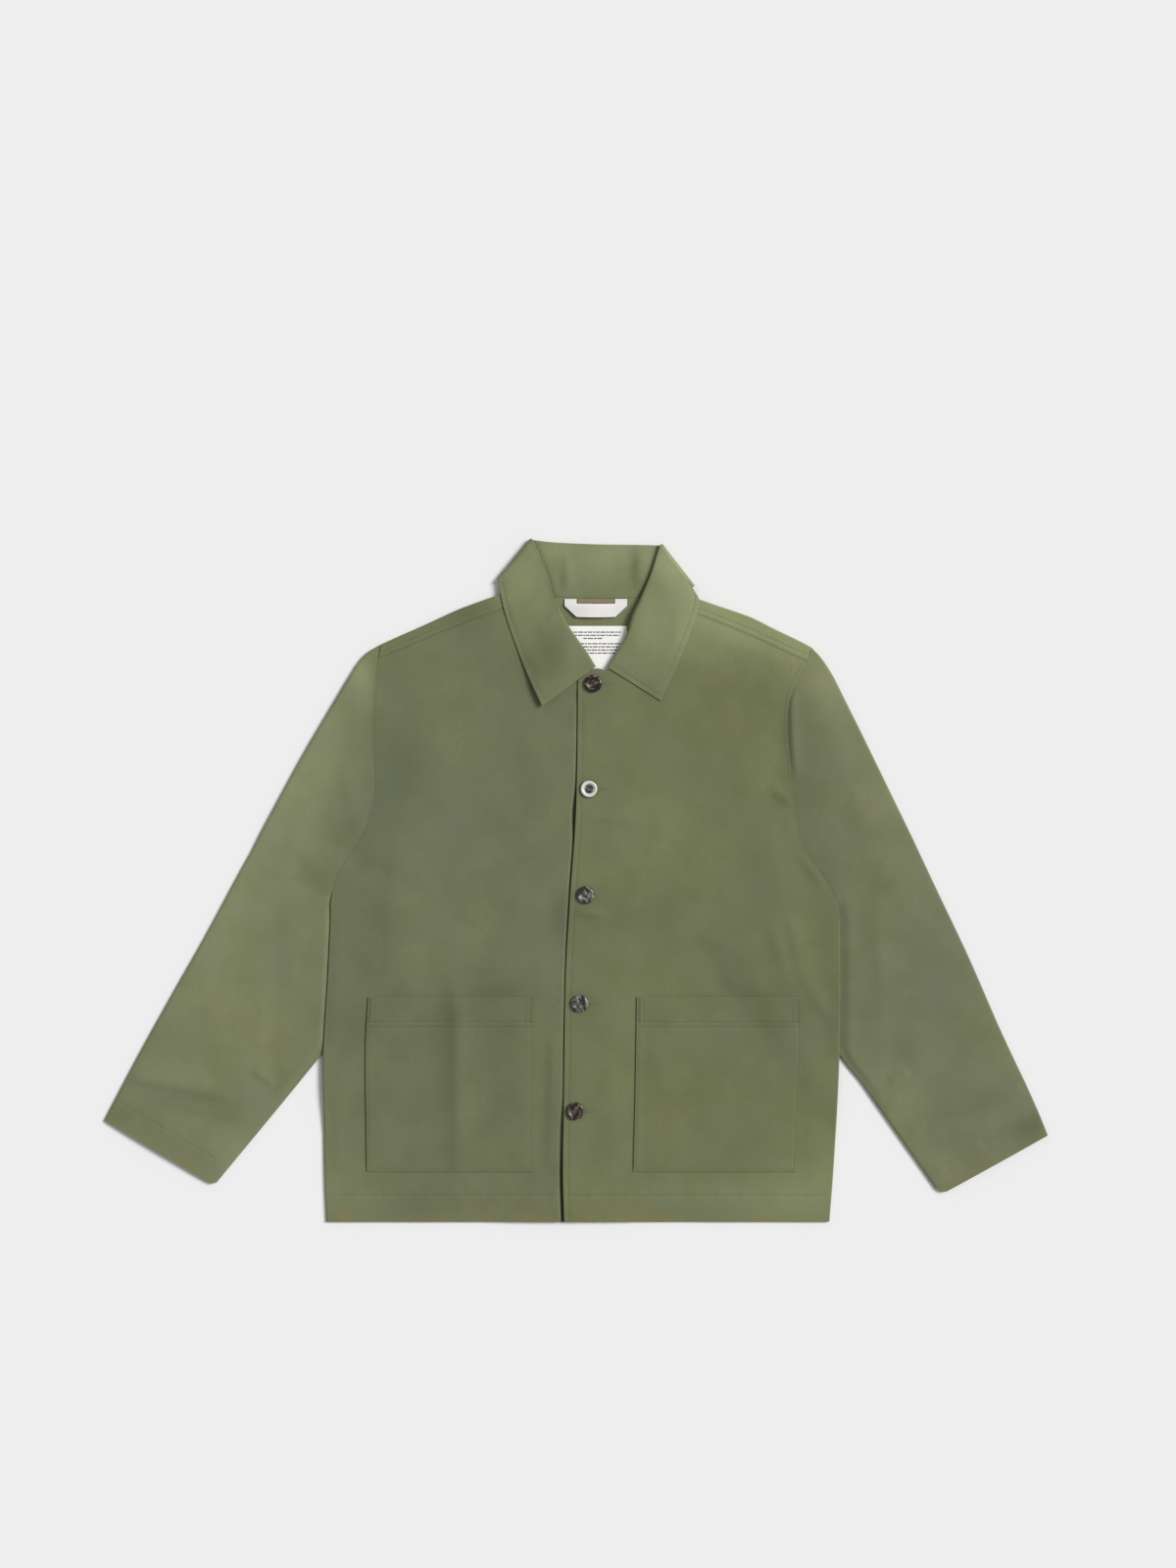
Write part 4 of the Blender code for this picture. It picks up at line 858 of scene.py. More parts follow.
def back_cloth(material):
    """The back panel with its wraps over both shoulders to the shoulder seams."""
    inset = (SIDE_LIFT + WALL) / 2
    skirt_length = min(armpit(side) for side in SIDES) - HEM_Y
    skirt = shares(skirt_length, 7.0, [HEM_STITCH], (0.6, 2.0)) - 1.0
    v = np.r_[skirt[:-1], shares(290.0, 6.0, [], (0.8, 2.4))]
    shoulder_share = shares(160.0, 3.6, [], (0.8, 2.4))
    fold = {}
    for side in SHOULDER_FOLD:
        line = along(SHOULDER_FOLD[side], shoulder_share)
        fold[side] = line - sideways(SHOULDER_FOLD[side], shoulder_share) * outward(side) * inset
        fold[side][-1, 0] -= outward(side) * SEAM_GAP / 2
    neck = along(BACK_NECK, shares(198.0, 4.5, [], (1.0, 2.5)))
    top = np.vstack([fold["viewer_left"][::-1], neck[1:-1], fold["viewer_right"]])
    u = (top[:, 0] - top[0, 0]) / (top[-1, 0] - top[0, 0])
    left = body_side("viewer_left", v, inset + SEAM_GAP, SEAM_GAP / 2)
    right = body_side("viewer_right", v, inset + SEAM_GAP, SEAM_GAP / 2)
    left[-1], right[-1] = top[0], top[-1]
    chord = top[0] + u[:, None] * (top[-1] - top[0])
    plan = left[:, None] + u[None, :, None] * (right - left)[:, None]
    plan = plan + (np.maximum(v, 0.0) ** 2)[:, None, None] * (top - chord)[None]
    x, y = plan[..., 0], plan[..., 1]
    from_side = np.minimum(u, 1 - u)[None, :] * 560.0
    calm = ease(from_side / 40.0) * ease((y - HEM_Y) / 30.0) * ease((200.0 - y) / 60.0)
    z = back_height(x, y) + np.maximum(creases(x, y, BACK_CREASES), 0.0) * calm
    grid = with_height(plan, z)
    count = len(shoulder_share)
    brims = {"viewer_left": grid[-1, :count][::-1], "viewer_right": grid[-1, -count:]}
    wraps = [shoulder_strip(side, brim, shoulder_share) for side, brim in brims.items()]
    return cloth_piece("back", [(grid, plan, worn(y - HEM_Y)), *wraps], WALL, material)


def strip_point(side, brim, share, w):
    """The wrap in front of the fold: w from 0 at the fold to 1 at the shoulder seam."""
    seam = along(SHOULDER_SEAM[side], share) + np.array([0.0, SEAM_GAP / 2])
    in_from_ends = (share == 0.0) * 1.0 - (share == 1.0)
    seam = seam + (outward(side) * in_from_ends)[:, None] * [SEAM_GAP / 2, 0]
    plan = brim[None, :, :2] + w[:, None, None] * (seam - brim[:, :2])[None]
    height = top_height(plan[..., 0], plan[..., 1], side)
    down = (1.0 - w)[:, None] * np.linalg.norm(seam - brim[:, :2], axis=1)
    for row in SEAM_STITCHES:
        height = height + groove(down - row) * (w > 0.05)[:, None]
    return with_height(plan, height - 0.2 * bell(down, 1.0))


def shoulder_strip(side, brim, share):
    """Half-circles round the shoulder's fold and rows down to its seam."""
    out = sideways(SHOULDER_FOLD[side], share) * outward(side)
    curl = bend(brim, out, top_height(brim[:, 0], brim[:, 1], side))
    rows = np.array([0.1, 0.24, 0.4, 0.47, 0.53, 0.6, 0.72, 0.84, 0.89, 0.94, 1.0])
    strip = np.vstack([brim[None], curl, strip_point(side, brim, share, rows)])
    row = np.arange(len(strip))[:, None]
    return strip, pairs(strip[..., 0], row * 1.6), worn(row - 4.0)


def ring_lift(x, y, side, across):
    """How far a sleeve's upper layer lies over its lower one, and its creases.

    The lift is least at the folds and under the body, and rises beside the side seam.
    """
    armpit_y = armpit(side)
    off_seam = off_body(side, x, np.minimum(y, armpit_y - 0.1))
    free = np.maximum(ease((off_seam - 16.0) / 34.0), ease((y - armpit_y - 14.0) / 50.0))
    crown = np.sqrt(np.clip(4 * across * (1 - across), 0.0, 1.0))
    small = ripple(x, y, 96.0, 0.15, 4) + ripple(x, y, 30.0, 0.05, 8)
    puff = (SLEEVE_PUFF + folds(x, y, SLEEVE_FOLDS) + small) * crown
    sides = ease(np.minimum(across, 1.0 - across) / 0.06)
    rise, rise_run = BESIDE_BODY[side]
    off = off_body(side, x, y)
    beside = rise * ease((off + 0.6) / rise_run) * (1.0 - ease((off - 14.0) / 50.0))
    beside = beside * sides * ease((armpit_y + 44.0 - y) / 44.0)
    lift = TUCKED_LIFT + free * (CUFF_LIFT - TUCKED_LIFT + puff) + beside
    return lift, creases(x, y, SLEEVE_CREASES) * free * sides


def cap_lines(side, v):
    """The cap's two edges, fold centres and armhole: v is 0 at the upper arm, 1 at the shoulder."""
    way = outward(side)
    arm = along(ARMHOLE[side], v) - sideways(ARMHOLE[side], v) * way * SEAM_GAP / 2
    shoulder = along(SLEEVE_TOP_EDGE[side], 1.0 - v)
    out = unit(shoulder - arm)
    fold = shoulder - out * (CUFF_LIFT + WALL) / 2
    fold[..., 0] += way * SEAM_GAP / 2 * ease((v - 0.9) / 0.1)
    return fold, arm, out


def tube_lines(side, v):
    """The tube's two fold centres, v from 0 at the cuff to 1 at the upper arm."""
    outer = along(SLEEVE_OUTER_EDGE[side], 1.0 - v)
    inner = along(SLEEVE_INNER_EDGE[side], 1.0 - v)
    cap_out = cap_lines(side, np.zeros(1))[2][0]
    out = unit(outer - inner)
    out = unit(out + ease((v - 0.94) / 0.06)[..., None] * (cap_out - out))
    return outer - out * (CUFF_LIFT + WALL) / 2, inner + out * (TUCKED_LIFT + WALL) / 2, out


def half_way(side):
    """The share across the tube's top where the armhole ends."""
    fold, arm, _ = cap_lines(side, np.zeros(1))
    _, inner, _ = tube_lines(side, np.ones(1))
    near, far = np.linalg.norm(arm[0] - fold[0]), np.linalg.norm(inner[0] - arm[0])
    return near / (near + far)


def cap_plan(side, u, v):
    """The cap on the page, u from its outer fold to the armhole, and the armhole's points."""
    fold, arm, _ = cap_lines(side, v)
    return fold + u[..., None] * (arm - fold), arm


def cap_upper(side, u, v):
    """Upper layer of the cap: the tube's lens, brought to the front's height at the armhole."""
    u, v = np.broadcast_arrays(u, v)
    plan, arm = cap_plan(side, u, v)
    x, y = plan[..., 0], plan[..., 1]
    lift, relief = ring_lift(x, y, side, u * half_way(side))
    lens = WALL / 2 + lift
    start = np.array(ARMHOLE[side][0], float)
    reach = np.linalg.norm(arm - start, axis=-1)
    seam = top_height(arm[..., 0], arm[..., 1], side)
    joined = ease((u - 0.25) / 0.75) * ease(reach / 15.0)
    z = lens + joined * (seam - lens)
    last = ease((v - 1.0) * 11.0 / 3.0 + 1.0)
    z = z + last * (top_height(x, y, side) - z)
    off = (1.0 - u) * np.linalg.norm(arm - cap_lines(side, v)[0], axis=-1)
    z = z + armhole_ditch(off) * ease(v / 0.12) * ease((1.0 - v) / 0.05)
    z = z + relief * ease(off / 5.0 + 1.0 - ease(v / 0.05)) * ease((1.0 - v) / 0.05)
    return with_height(plan, z)


def corner_cut(side, a, v):
    """How far along the tube its inner corner is rounded back at the cuff: a share of its run."""
    radius, width = CUFF_CORNER[side], CUFF_WIDTH
    run = length_of(SLEEVE_OUTER_EDGE[side])
    over = np.clip(a * width - (width - radius), 0.0, radius)
    return (radius - np.sqrt(radius**2 - over**2)) / run * np.exp(-v * run / 16.0)


def tube_plan(side, a, v):
    """The tube on the page: a runs from the outer to the inner fold, v from cuff to upper arm."""
    half = half_way(side)
    v = v + corner_cut(side, a, v)
    outer, inner, _ = tube_lines(side, v)
    one = np.ones(np.shape(a))
    outer_top, inner_top, _ = tube_lines(side, one)
    near, arm = cap_plan(side, np.minimum(a / half, 1.0), 0.0 * one)
    far = arm + (np.maximum(a - half, 0.0) / (1.0 - half))[..., None] * (inner_top - arm)
    chord = outer_top + a[..., None] * (inner_top - outer_top)
    top = np.where((a <= half)[..., None], near, far)
    return outer + a[..., None] * (inner - outer) + (v**2)[..., None] * (top - chord)


def tube_upper(side, a, v):
    """Upper layer of the tube, with the cuff's stitched hem."""
    a, v = np.broadcast_arrays(a, v)
    plan = tube_plan(side, a, v)
    x, y = plan[..., 0], plan[..., 1]
    lift, relief = ring_lift(x, y, side, a)
    z = WALL / 2 + lift + relief
    from_cuff = v * length_of(SLEEVE_OUTER_EDGE[side])
    z = z + 0.5 * groove(from_cuff - CUFF_STITCH) * ease(a / 0.03) * ease((1 - a) / 0.03)
    across = np.minimum(a, 1 - a)
    z = z + pucker(a * 150.0, from_cuff - CUFF_STITCH, 0.16, 10.0, 7) * ease(across / 0.08)
    return with_height(plan, z)


def on_ground(plan):
    """Points of a sleeve's lower layer, which lies on the ground."""
    return with_height(plan, np.full(plan.shape[:-1], WALL / 2))


def rounded(lower, out, upper):
    """Rows over a folded edge: lower layer's points, the bend and the upper layer's points."""
    curl = bend(lower[:, 0], out, upper[:, 0, 2]).swapaxes(0, 1)
    return np.concatenate([lower[:, ::-1], curl[:, :-1], upper], axis=1)


def sleeve_cloth(side, node, material):
    """A sleeve: the cap's rows over its outer fold, and the tube's rings."""
    run = length_of(SLEEVE_OUTER_EDGE[side])
    v_tube = shares(run, 2.1, [CUFF_STITCH], (0.5, 1.1, 2.0))
    v_cap = shares(CAP_LENGTH, 3.6, [], (1.0, 2.4))
    u_low, u_up = np.linspace(0.0, 1.0, 12), shares(120.0, 3.6, [], (0.6, 1.4, 2.6))
    half = half_way(side)
    near = (0.3, 1.0, 2.2, 4.0, 6.2)
    a_low, a_up = (
        np.r_[first * half, half + shares(75.0, step, [], near)[1:] * (1 - half)]
        for first, step in ((u_low, 9.0), (u_up, 1.3))
    )
    lower = on_ground(cap_plan(side, *net(u_low, v_cap))[0])
    cap = rounded(lower, cap_lines(side, v_cap)[2], cap_upper(side, *net(u_up, v_cap)))
    tube_out = tube_lines(side, v_tube)[2]
    lower = on_ground(tube_plan(side, *net(a_low, v_tube)))
    upper = tube_upper(side, *net(a_up, v_tube))
    curl = bend(lower[:, -1], -tube_out, upper[:, -1, 2]).swapaxes(0, 1)
    ring = [rounded(lower, tube_out, upper), curl[:, -2::-1], lower[:, -1:]]
    grids = []
    for grid, v, wear in (
        (cap, v_cap * CAP_LENGTH + run, 0.0), (np.concatenate(ring, axis=1), v_tube * run, 0.6)
    ):
        uv = pairs(running_length(grid[0])[None, :], v[:, None])
        grids.append((grid, uv, wear * worn(v[:, None] / 4.0)))
    return cloth_piece(node, grids, WALL, material)


def collar_lines(side, t):
    """Neck seam, roll and outer edge of one half, t from its front end to the neck's side."""
    neck_share = np.minimum(t * 6.0 / 5.0, 1.0)
    neck = along(FRONT_NECK[side], neck_share)
    neck = neck + sideways(FRONT_NECK[side], neck_share) * outward(side) * SEAM_GAP / 2
    last = np.array(COLLAR_NECK_CORNER[side])
    neck = neck + np.clip(t * 6.0 - 5.0, 0.0, 1.0)[..., None] * (last - neck)
    return neck, along(COLLAR_ROLL[side], t), along(COLLAR_EDGE[side], t)


def leaf_shape(side, q, off_end, off_edge):
    """A leaf's own form above its flat lie.

    A slight belly, a tip that stands off the front, edges that lie close to the front away from the
    tip, and on the viewer's right a roll that stands up in its middle.
    """
    off_tip = np.hypot(off_end, off_edge)
    tip = bell(off_tip, 40.0)
    lifted = min(TIP_LIFT[side], 1.0) * bell(off_tip, 48.0)
    close = bell(np.minimum(off_end, off_edge), 9.0) * (1.0 - lifted)
    roll = bell(q, 0.3) * bell(off_end - 66.0, 30.0)
    belly = 0.8 * np.sin(np.pi * q) * ease(off_end / 30.0)
    return belly + TIP_LIFT[side] * tip - 0.7 * close + ROLL_LIFT[side] * roll


def collar_column(lines, angle, out, side, ahead, q_leaf, front_off):
    """Columns from the neck seam over the roll to the outer edge.

    A layer's point is on its upper height at a quarter turn up and on its lower one at a quarter
    turn down. The roll is the half-circle between the two layers' ends, bulging ahead.
    """
    neck, roll, edge = lines
    turn = angle[:, None]

    def ground(x, y):
        """Middle of a collar that lies on the ground."""
        return np.full(x.shape, COLLAR_WALL / 2)

    def layer(start, end, q, upper_height, lower_height, shape):
        """Points between two lines, on a half-turn between the upper and the lower height."""
        plan = start[:, None] + q[None, :, None] * (end - start)[:, None]
        x, y = plan[..., 0], plan[..., 1]
        upper, lower = upper_height(x, y, side) + shape, lower_height(x, y)
        half = (upper - lower) / 2
        place = plan + out * (half * np.cos(turn))[..., None]
        return with_height(place, (upper + lower) / 2 + half * np.sin(turn))

    off_edge = (1.0 - q_leaf)[None, :] * np.linalg.norm(edge - roll, axis=1)[:, None]
    off_end = front_off[:, None]
    from_edge, from_end = off_edge - COLLAR_EDGE_STITCH, off_end - COLLAR_EDGE_STITCH
    spot = roll[:, None] + q_leaf[None, :, None] * (edge - roll)[:, None]
    inside = ease((from_edge - 1.5) / 6.0) * ease((from_end - 1.5) / 6.0) * ease(q_leaf / 0.12)
    shape = leaf_shape(side, q_leaf[None, :], off_end, off_edge)
    shape = shape + COLLAR_GROOVE * (groove(from_edge) + groove(from_end))
    shape = shape + creases(spot[..., 0], spot[..., 1], LEAF_CREASES) * inside
    shape = shape + pucker(off_end, from_edge, 0.10, 7.0, 2)
    shape = np.where(np.sin(turn) > 0.99, shape, 0.0)
    stand = layer(neck, roll, COLLAR_STAND, top_height, back_height, 0.0)
    leaf = layer(roll, edge, q_leaf, leaf_height, ground, shape)
    begin, finish = stand[:, -1], leaf[:, 0]
    apart = finish - begin
    radius = np.linalg.norm(apart, axis=1)[:, None, None] / 2
    theta = np.linspace(0.0, np.pi, CURL_STEPS + 1)[1:-1][None, :, None]
    middle = (begin + finish)[:, None] / 2
    rolled = middle - apart[:, None] / 2 * np.cos(theta) + ahead[:, None] * radius * np.sin(theta)
    return np.concatenate([stand, rolled, leaf], axis=1)


def collar_half(side, q_leaf):
    """One side's columns, from its front end to the fold at the neck's side and round that fold."""
    turn = np.linspace(np.pi / 2, -np.pi / 2, 13)[1:]
    run = length_of(COLLAR_ROLL[side])
    t = shares(run, 3.0, [COLLAR_EDGE_STITCH], (0.5, 1.1, 2.0))
    lines = [np.vstack([p, np.repeat(p[-1:], len(turn), axis=0)]) for p in collar_lines(side, t)]
    neck, roll, edge = lines
    ahead = -sideways(COLLAR_ROLL[side], t) * outward(side)
    facing = np.sum(ahead * (roll - neck)[: len(t)], axis=1, keepdims=True)
    ahead = np.where(facing < 0, -ahead, ahead)
    corner = unit(roll[-1] - edge[-1])
    ahead = unit(ahead + ease((t - 0.8) / 0.2)[:, None] * (corner - ahead))
    ahead = np.vstack([ahead, np.repeat(corner[None], len(turn), axis=0)])
    ahead = with_height(ahead, np.zeros(len(ahead)))
    angle = np.r_[np.full(len(t), np.pi / 2), turn]
    front_off = np.r_[t * run, np.full(len(turn), run)]
    out = np.array(COLLAR_FOLD_OUT[side])
    return collar_column(lines, angle, out, side, ahead, q_leaf, front_off), front_off


def collar_cloth(material):
    """The collar from its left front end round the neck to its right one."""
    stitched = [LEAF_WIDTH - COLLAR_EDGE_STITCH]
    q_leaf = shares(LEAF_WIDTH, 2.8, stitched, (0.5, 1.1, 2.0, 3.0))
    left, left_off = collar_half("viewer_left", q_leaf)
    right, right_off = collar_half("viewer_right", q_leaf)
    share = shares(150.0, 2.2)
    neck = along(BACK_NECK, share) + np.array([0.0, SEAM_GAP])
    neck[0], neck[-1] = COLLAR_NECK_CORNER["viewer_left"], COLLAR_NECK_CORNER["viewer_right"]
    roll, edge = along(BACK_ROLL, share), along(BACK_COLLAR_EDGE, share)
    ends = ease(np.minimum(share, 1 - share) / 0.12)[:, None]
    lean = np.where(share[:, None] < 0.5, unit(roll[0] - edge[0]), unit(roll[-1] - edge[-1]))
    ahead = unit(lean + ends * (np.array([0.0, 1.0]) - lean))
    ahead = with_height(ahead, np.zeros(len(ahead)))
    angle, off = np.full(len(share), -np.pi / 2), np.full(len(share), 90.0)
    lines = (neck, roll, edge)
    middle = collar_column(lines, angle, np.zeros(2), "viewer_right", ahead, q_leaf, off)
    column, stand = np.arange(middle.shape[1]), len(COLLAR_STAND)
    dents = creases(middle[..., 0], middle[..., 1], COLLAR_CREASES)
    middle[..., 2] += dents * ease(column / 3.0) * (column < stand)
    grid = np.vstack([left, middle[1:-1], right[::-1]])
    off_end = np.r_[left_off, np.full(len(middle) - 2, 150.0), right_off[::-1]]
    uv = pairs(2.9 * np.arange(1, len(grid) + 1)[:, None], 2.4 * column[None, :])
    off_edge = np.r_[np.full(stand + CURL_STEPS - 1, LEAF_WIDTH), (1.0 - q_leaf) * LEAF_WIDTH]
    at_roll = np.abs(column - stand - CURL_STEPS / 2) * 0.8
    wear = 0.15 * (worn(off_edge) + worn(at_roll) + worn(off_end)[:, None]).clip(0, 1)
    return cloth_piece("collar", [(grid, uv, wear)], COLLAR_WALL, material)


def stitch_rows(name, paths, material):
    """Rows of thread: along each path, at each pitch, a short round stitch with its ends sunk in.

    A stitch's point is its middle plus so much along the path, across it and up.
    """
    along_by = np.repeat(np.array([-0.5, -0.27, 0.27, 0.5]) * STITCH_LENGTH, 5)
    widths = np.array([0.35, 1.0, 1.0, 0.35]) * STITCH_RADIUS
    rise = np.array([-0.7, 0.75, 0.75, -0.7]) * STITCH_RADIUS
    turn = np.arange(5) * 2 * np.pi / 5
    across_by = np.outer(widths, np.cos(turn)).ravel()
    up_by = (rise[:, None] + np.outer(widths, np.sin(turn))).ravel()
    index = np.arange(20).reshape(4, 5)
    turned = np.roll(index, -1, axis=1)
    quads = np.stack([index[:-1], turned[:-1], turned[1:], index[1:]], -1).reshape(-1, 4)[:, ::-1]
    caps = np.array([[4, 3, 2, 1, 0], [15, 16, 17, 18, 19]])[:, ::-1]
    points = []
    for path in paths:
        run = running_length(path)
        count = int(run[-1] // STITCH_PITCH)
        at = (np.arange(count) + 0.5) * run[-1] / count
        middle, ahead, behind = (
            np.stack([np.interp(at + step, run, path[:, k]) for k in range(3)], axis=1)
            for step in (0.0, 0.6, -0.6)
        )
        tangent = unit(ahead - behind)
        across = unit(np.cross([0.0, 0.0, 1.0], tangent))
        up = np.cross(tangent, across)
        point = middle[:, None] + along_by[None, :, None] * tangent[:, None]
        point = point + across_by[None, :, None] * across[:, None]
        points.append((point + up_by[None, :, None] * up[:, None]).reshape(-1, 3))
    points = np.vstack(points)
    offsets = np.arange(0, len(points), 20)[:, None, None]
    faces = (quads[None] + offsets).reshape(-1, 4).tolist()
    faces += (caps[None] + offsets).reshape(-1, 5).tolist()
    mesh = bpy.data.meshes.new(name)
    mesh.from_pydata(((points + PLACE) * MM).tolist(), [], faces)
    mesh.shade_smooth()
    return add_piece(name, mesh, material)


def on_surface(grid):
    """Path points moved from a wall's middle to its upper face."""
    return grid + [0.0, 0.0, WALL / 2]


def front_stitches(side, node, material):
    """The front's rows: along its edge and its hem."""
    v = np.linspace(-0.998, 0.985, 400)
    first = EDGE_STITCH / 290.0
    _, across = front_plan(side, np.full(400, first), v)
    edge_row = on_surface(front_point(side, EDGE_STITCH / across, v))
    hem_u, hem_v = np.linspace(first, 0.985, 300), skirt_v(side, HEM_Y + HEM_STITCH)
    hem_row = on_surface(front_point(side, hem_u, hem_v))
    stitch_rows(f"{node}_stitches", [edge_row, hem_row], material)


def pocket_stitches(side, node, material):
    """The pocket's rows: both sides and the bottom, two across its hem, and its bartacks."""
    edge, mouth = POCKET_EDGE_STITCH, 1.0 - 1.0 / POCKET_HEIGHT
    low, first = edge / POCKET_HEIGHT, edge / POCKET_WIDTH
    one, fine = np.ones(160), np.linspace(low, mouth, 160)
    cross = np.linspace(first, 1 - first, 160)
    routes = [(one * first, fine), (one * (1 - first), fine), (cross, one * low)]
    routes += [(cross, one * (1.0 - row / POCKET_HEIGHT)) for row in POCKET_HEM_STITCHES]
    tack = np.linspace(1.0 - POCKET_HEM_STITCHES[0] / POCKET_HEIGHT, mouth, 160)
    for corner in (0.0, 1.0):
        for off in (edge, edge + 1.1, edge + 2.2, edge + 7.0):
            routes.append((one * abs(corner - off / POCKET_WIDTH), tack))
    paths = [on_surface(pocket_point(side, u, v)) for u, v in routes]
    stitch_rows(f"{node}_stitches", paths, material)


def shoulder_stitches(material):
    """Two rows beside each shoulder seam, on the back's wrap."""
    paths = []
    share = np.linspace(0.015, 0.985, 160)
    for side in SHOULDER_FOLD:
        fold = along(SHOULDER_FOLD[side], share)
        fold = fold - sideways(SHOULDER_FOLD[side], share) * outward(side) * (SIDE_LIFT + WALL) / 2
        seam = along(SHOULDER_SEAM[side], share)
        depth = np.linalg.norm(seam - fold, axis=1)
        for row in SEAM_STITCHES:
            plan = fold + (1.0 - row / depth)[:, None] * (seam - fold)
            z = top_height(plan[:, 0], plan[:, 1], side) - GROOVE_DEPTH + WALL / 2
            paths.append(with_height(plan, z))
    stitch_rows("shoulder_stitches", paths, material)


def sleeve_stitches(side, node, material):
    """The cuff's row."""
    v = CUFF_STITCH / length_of(SLEEVE_OUTER_EDGE[side])
    cuff = on_surface(tube_upper(side, np.linspace(0.02, 0.98, 200), v))
    stitch_rows(f"{node}_stitches", [cuff], material)


def armhole_stitches(side, node, material):
    """The row on the front beside the armhole seam."""
    v = np.linspace(0.05, 0.985, 300)
    _, width = front_plan(side, np.full(300, 0.99), v)
    row = on_surface(front_point(side, 1.0 - 1.7 / width, v))
    stitch_rows(f"{node}_armhole_stitches", [row], material)


def collar_stitches(material):
    """The rows round the two leaves, inside their edges, at the height of the leaf's own form."""
    paths = []
    for side in ("viewer_left", "viewer_right"):
        run = length_of(COLLAR_ROLL[side])
        t = np.linspace(COLLAR_EDGE_STITCH / run, 0.97, 200)
        _, roll, edge = collar_lines(side, t)
        depth = np.linalg.norm(edge - roll, axis=1)
        q = 1.0 - COLLAR_EDGE_STITCH / depth
        end_q = np.linspace(0.05, q[0], 80)
        for start, end, share, off_end, off_edge in (
            (roll, edge, q, t * run, COLLAR_EDGE_STITCH),
            (roll[0], edge[0], end_q, COLLAR_EDGE_STITCH, (1.0 - end_q) * depth[0]),
        ):
            plan = start + share[:, None] * (end - start)
            z = leaf_height(plan[:, 0], plan[:, 1], side)
            z += leaf_shape(side, share, off_end, off_edge)
            paths.append(with_height(plan, z - COLLAR_GROOVE * GROOVE_DEPTH + COLLAR_WALL / 2))
    stitch_rows("collar_stitches", paths, material)


def buttonholes(material):
    """Worked edges of the buttonholes: a bead round each slit that ripples with its threads.

    The bead follows the slit's outline, two straight sides and two half-circles, and its section is
    an arc across that outline.
    """
    straight, half_gap, end = SLIT_LENGTH, SLIT_HALF_GAP, SLIT_LENGTH / 2
    arc = np.pi * half_gap
    s = np.linspace(0.0, 2 * (straight + arc), 421)
    lane = s % s[-1]
    turn, back_turn = (lane - straight) / half_gap, (lane - 2 * straight - arc) / half_gap
    parts = [lane < straight, lane < straight + arc, lane < 2 * straight + arc]
    there = [lane - end, end + half_gap * np.sin(turn), end - (lane - straight - arc)]
    px = np.select(parts, there, -end - half_gap * np.sin(back_turn))
    aside = [-half_gap, -half_gap * np.cos(turn), half_gap]
    py = np.select(parts, aside, half_gap * np.cos(back_turn))
    outline = pairs(px, py)
    normal = unit(outline - pairs(np.clip(px, -end, end), 0.0))
    phi = np.linspace(-0.15 * np.pi, 1.15 * np.pi, 9)
    ridge = 0.75 + 0.25 * np.abs(np.sin(np.pi * s / THREAD_WRAP))
    out = np.cos(phi)[None, :] * 0.95 * (0.9 + 0.1 * ridge)[:, None]
    bead = outline[:, None] + normal[:, None] * out[..., None]
    up = np.sin(phi)[None, :] * 0.42 * ridge[:, None]
    grids = []
    for x, y, *_ in BUTTONS:
        plan = bead + [x + SLIT_OFF, y]
        z = top_height(plan[..., 0], plan[..., 1], "viewer_right") + WALL / 2 - 0.22 + up
        grids.append((with_height(plan, z), np.zeros(2), 0.2))
    add_piece("buttonholes", mesh_of("buttonholes", grids), material)


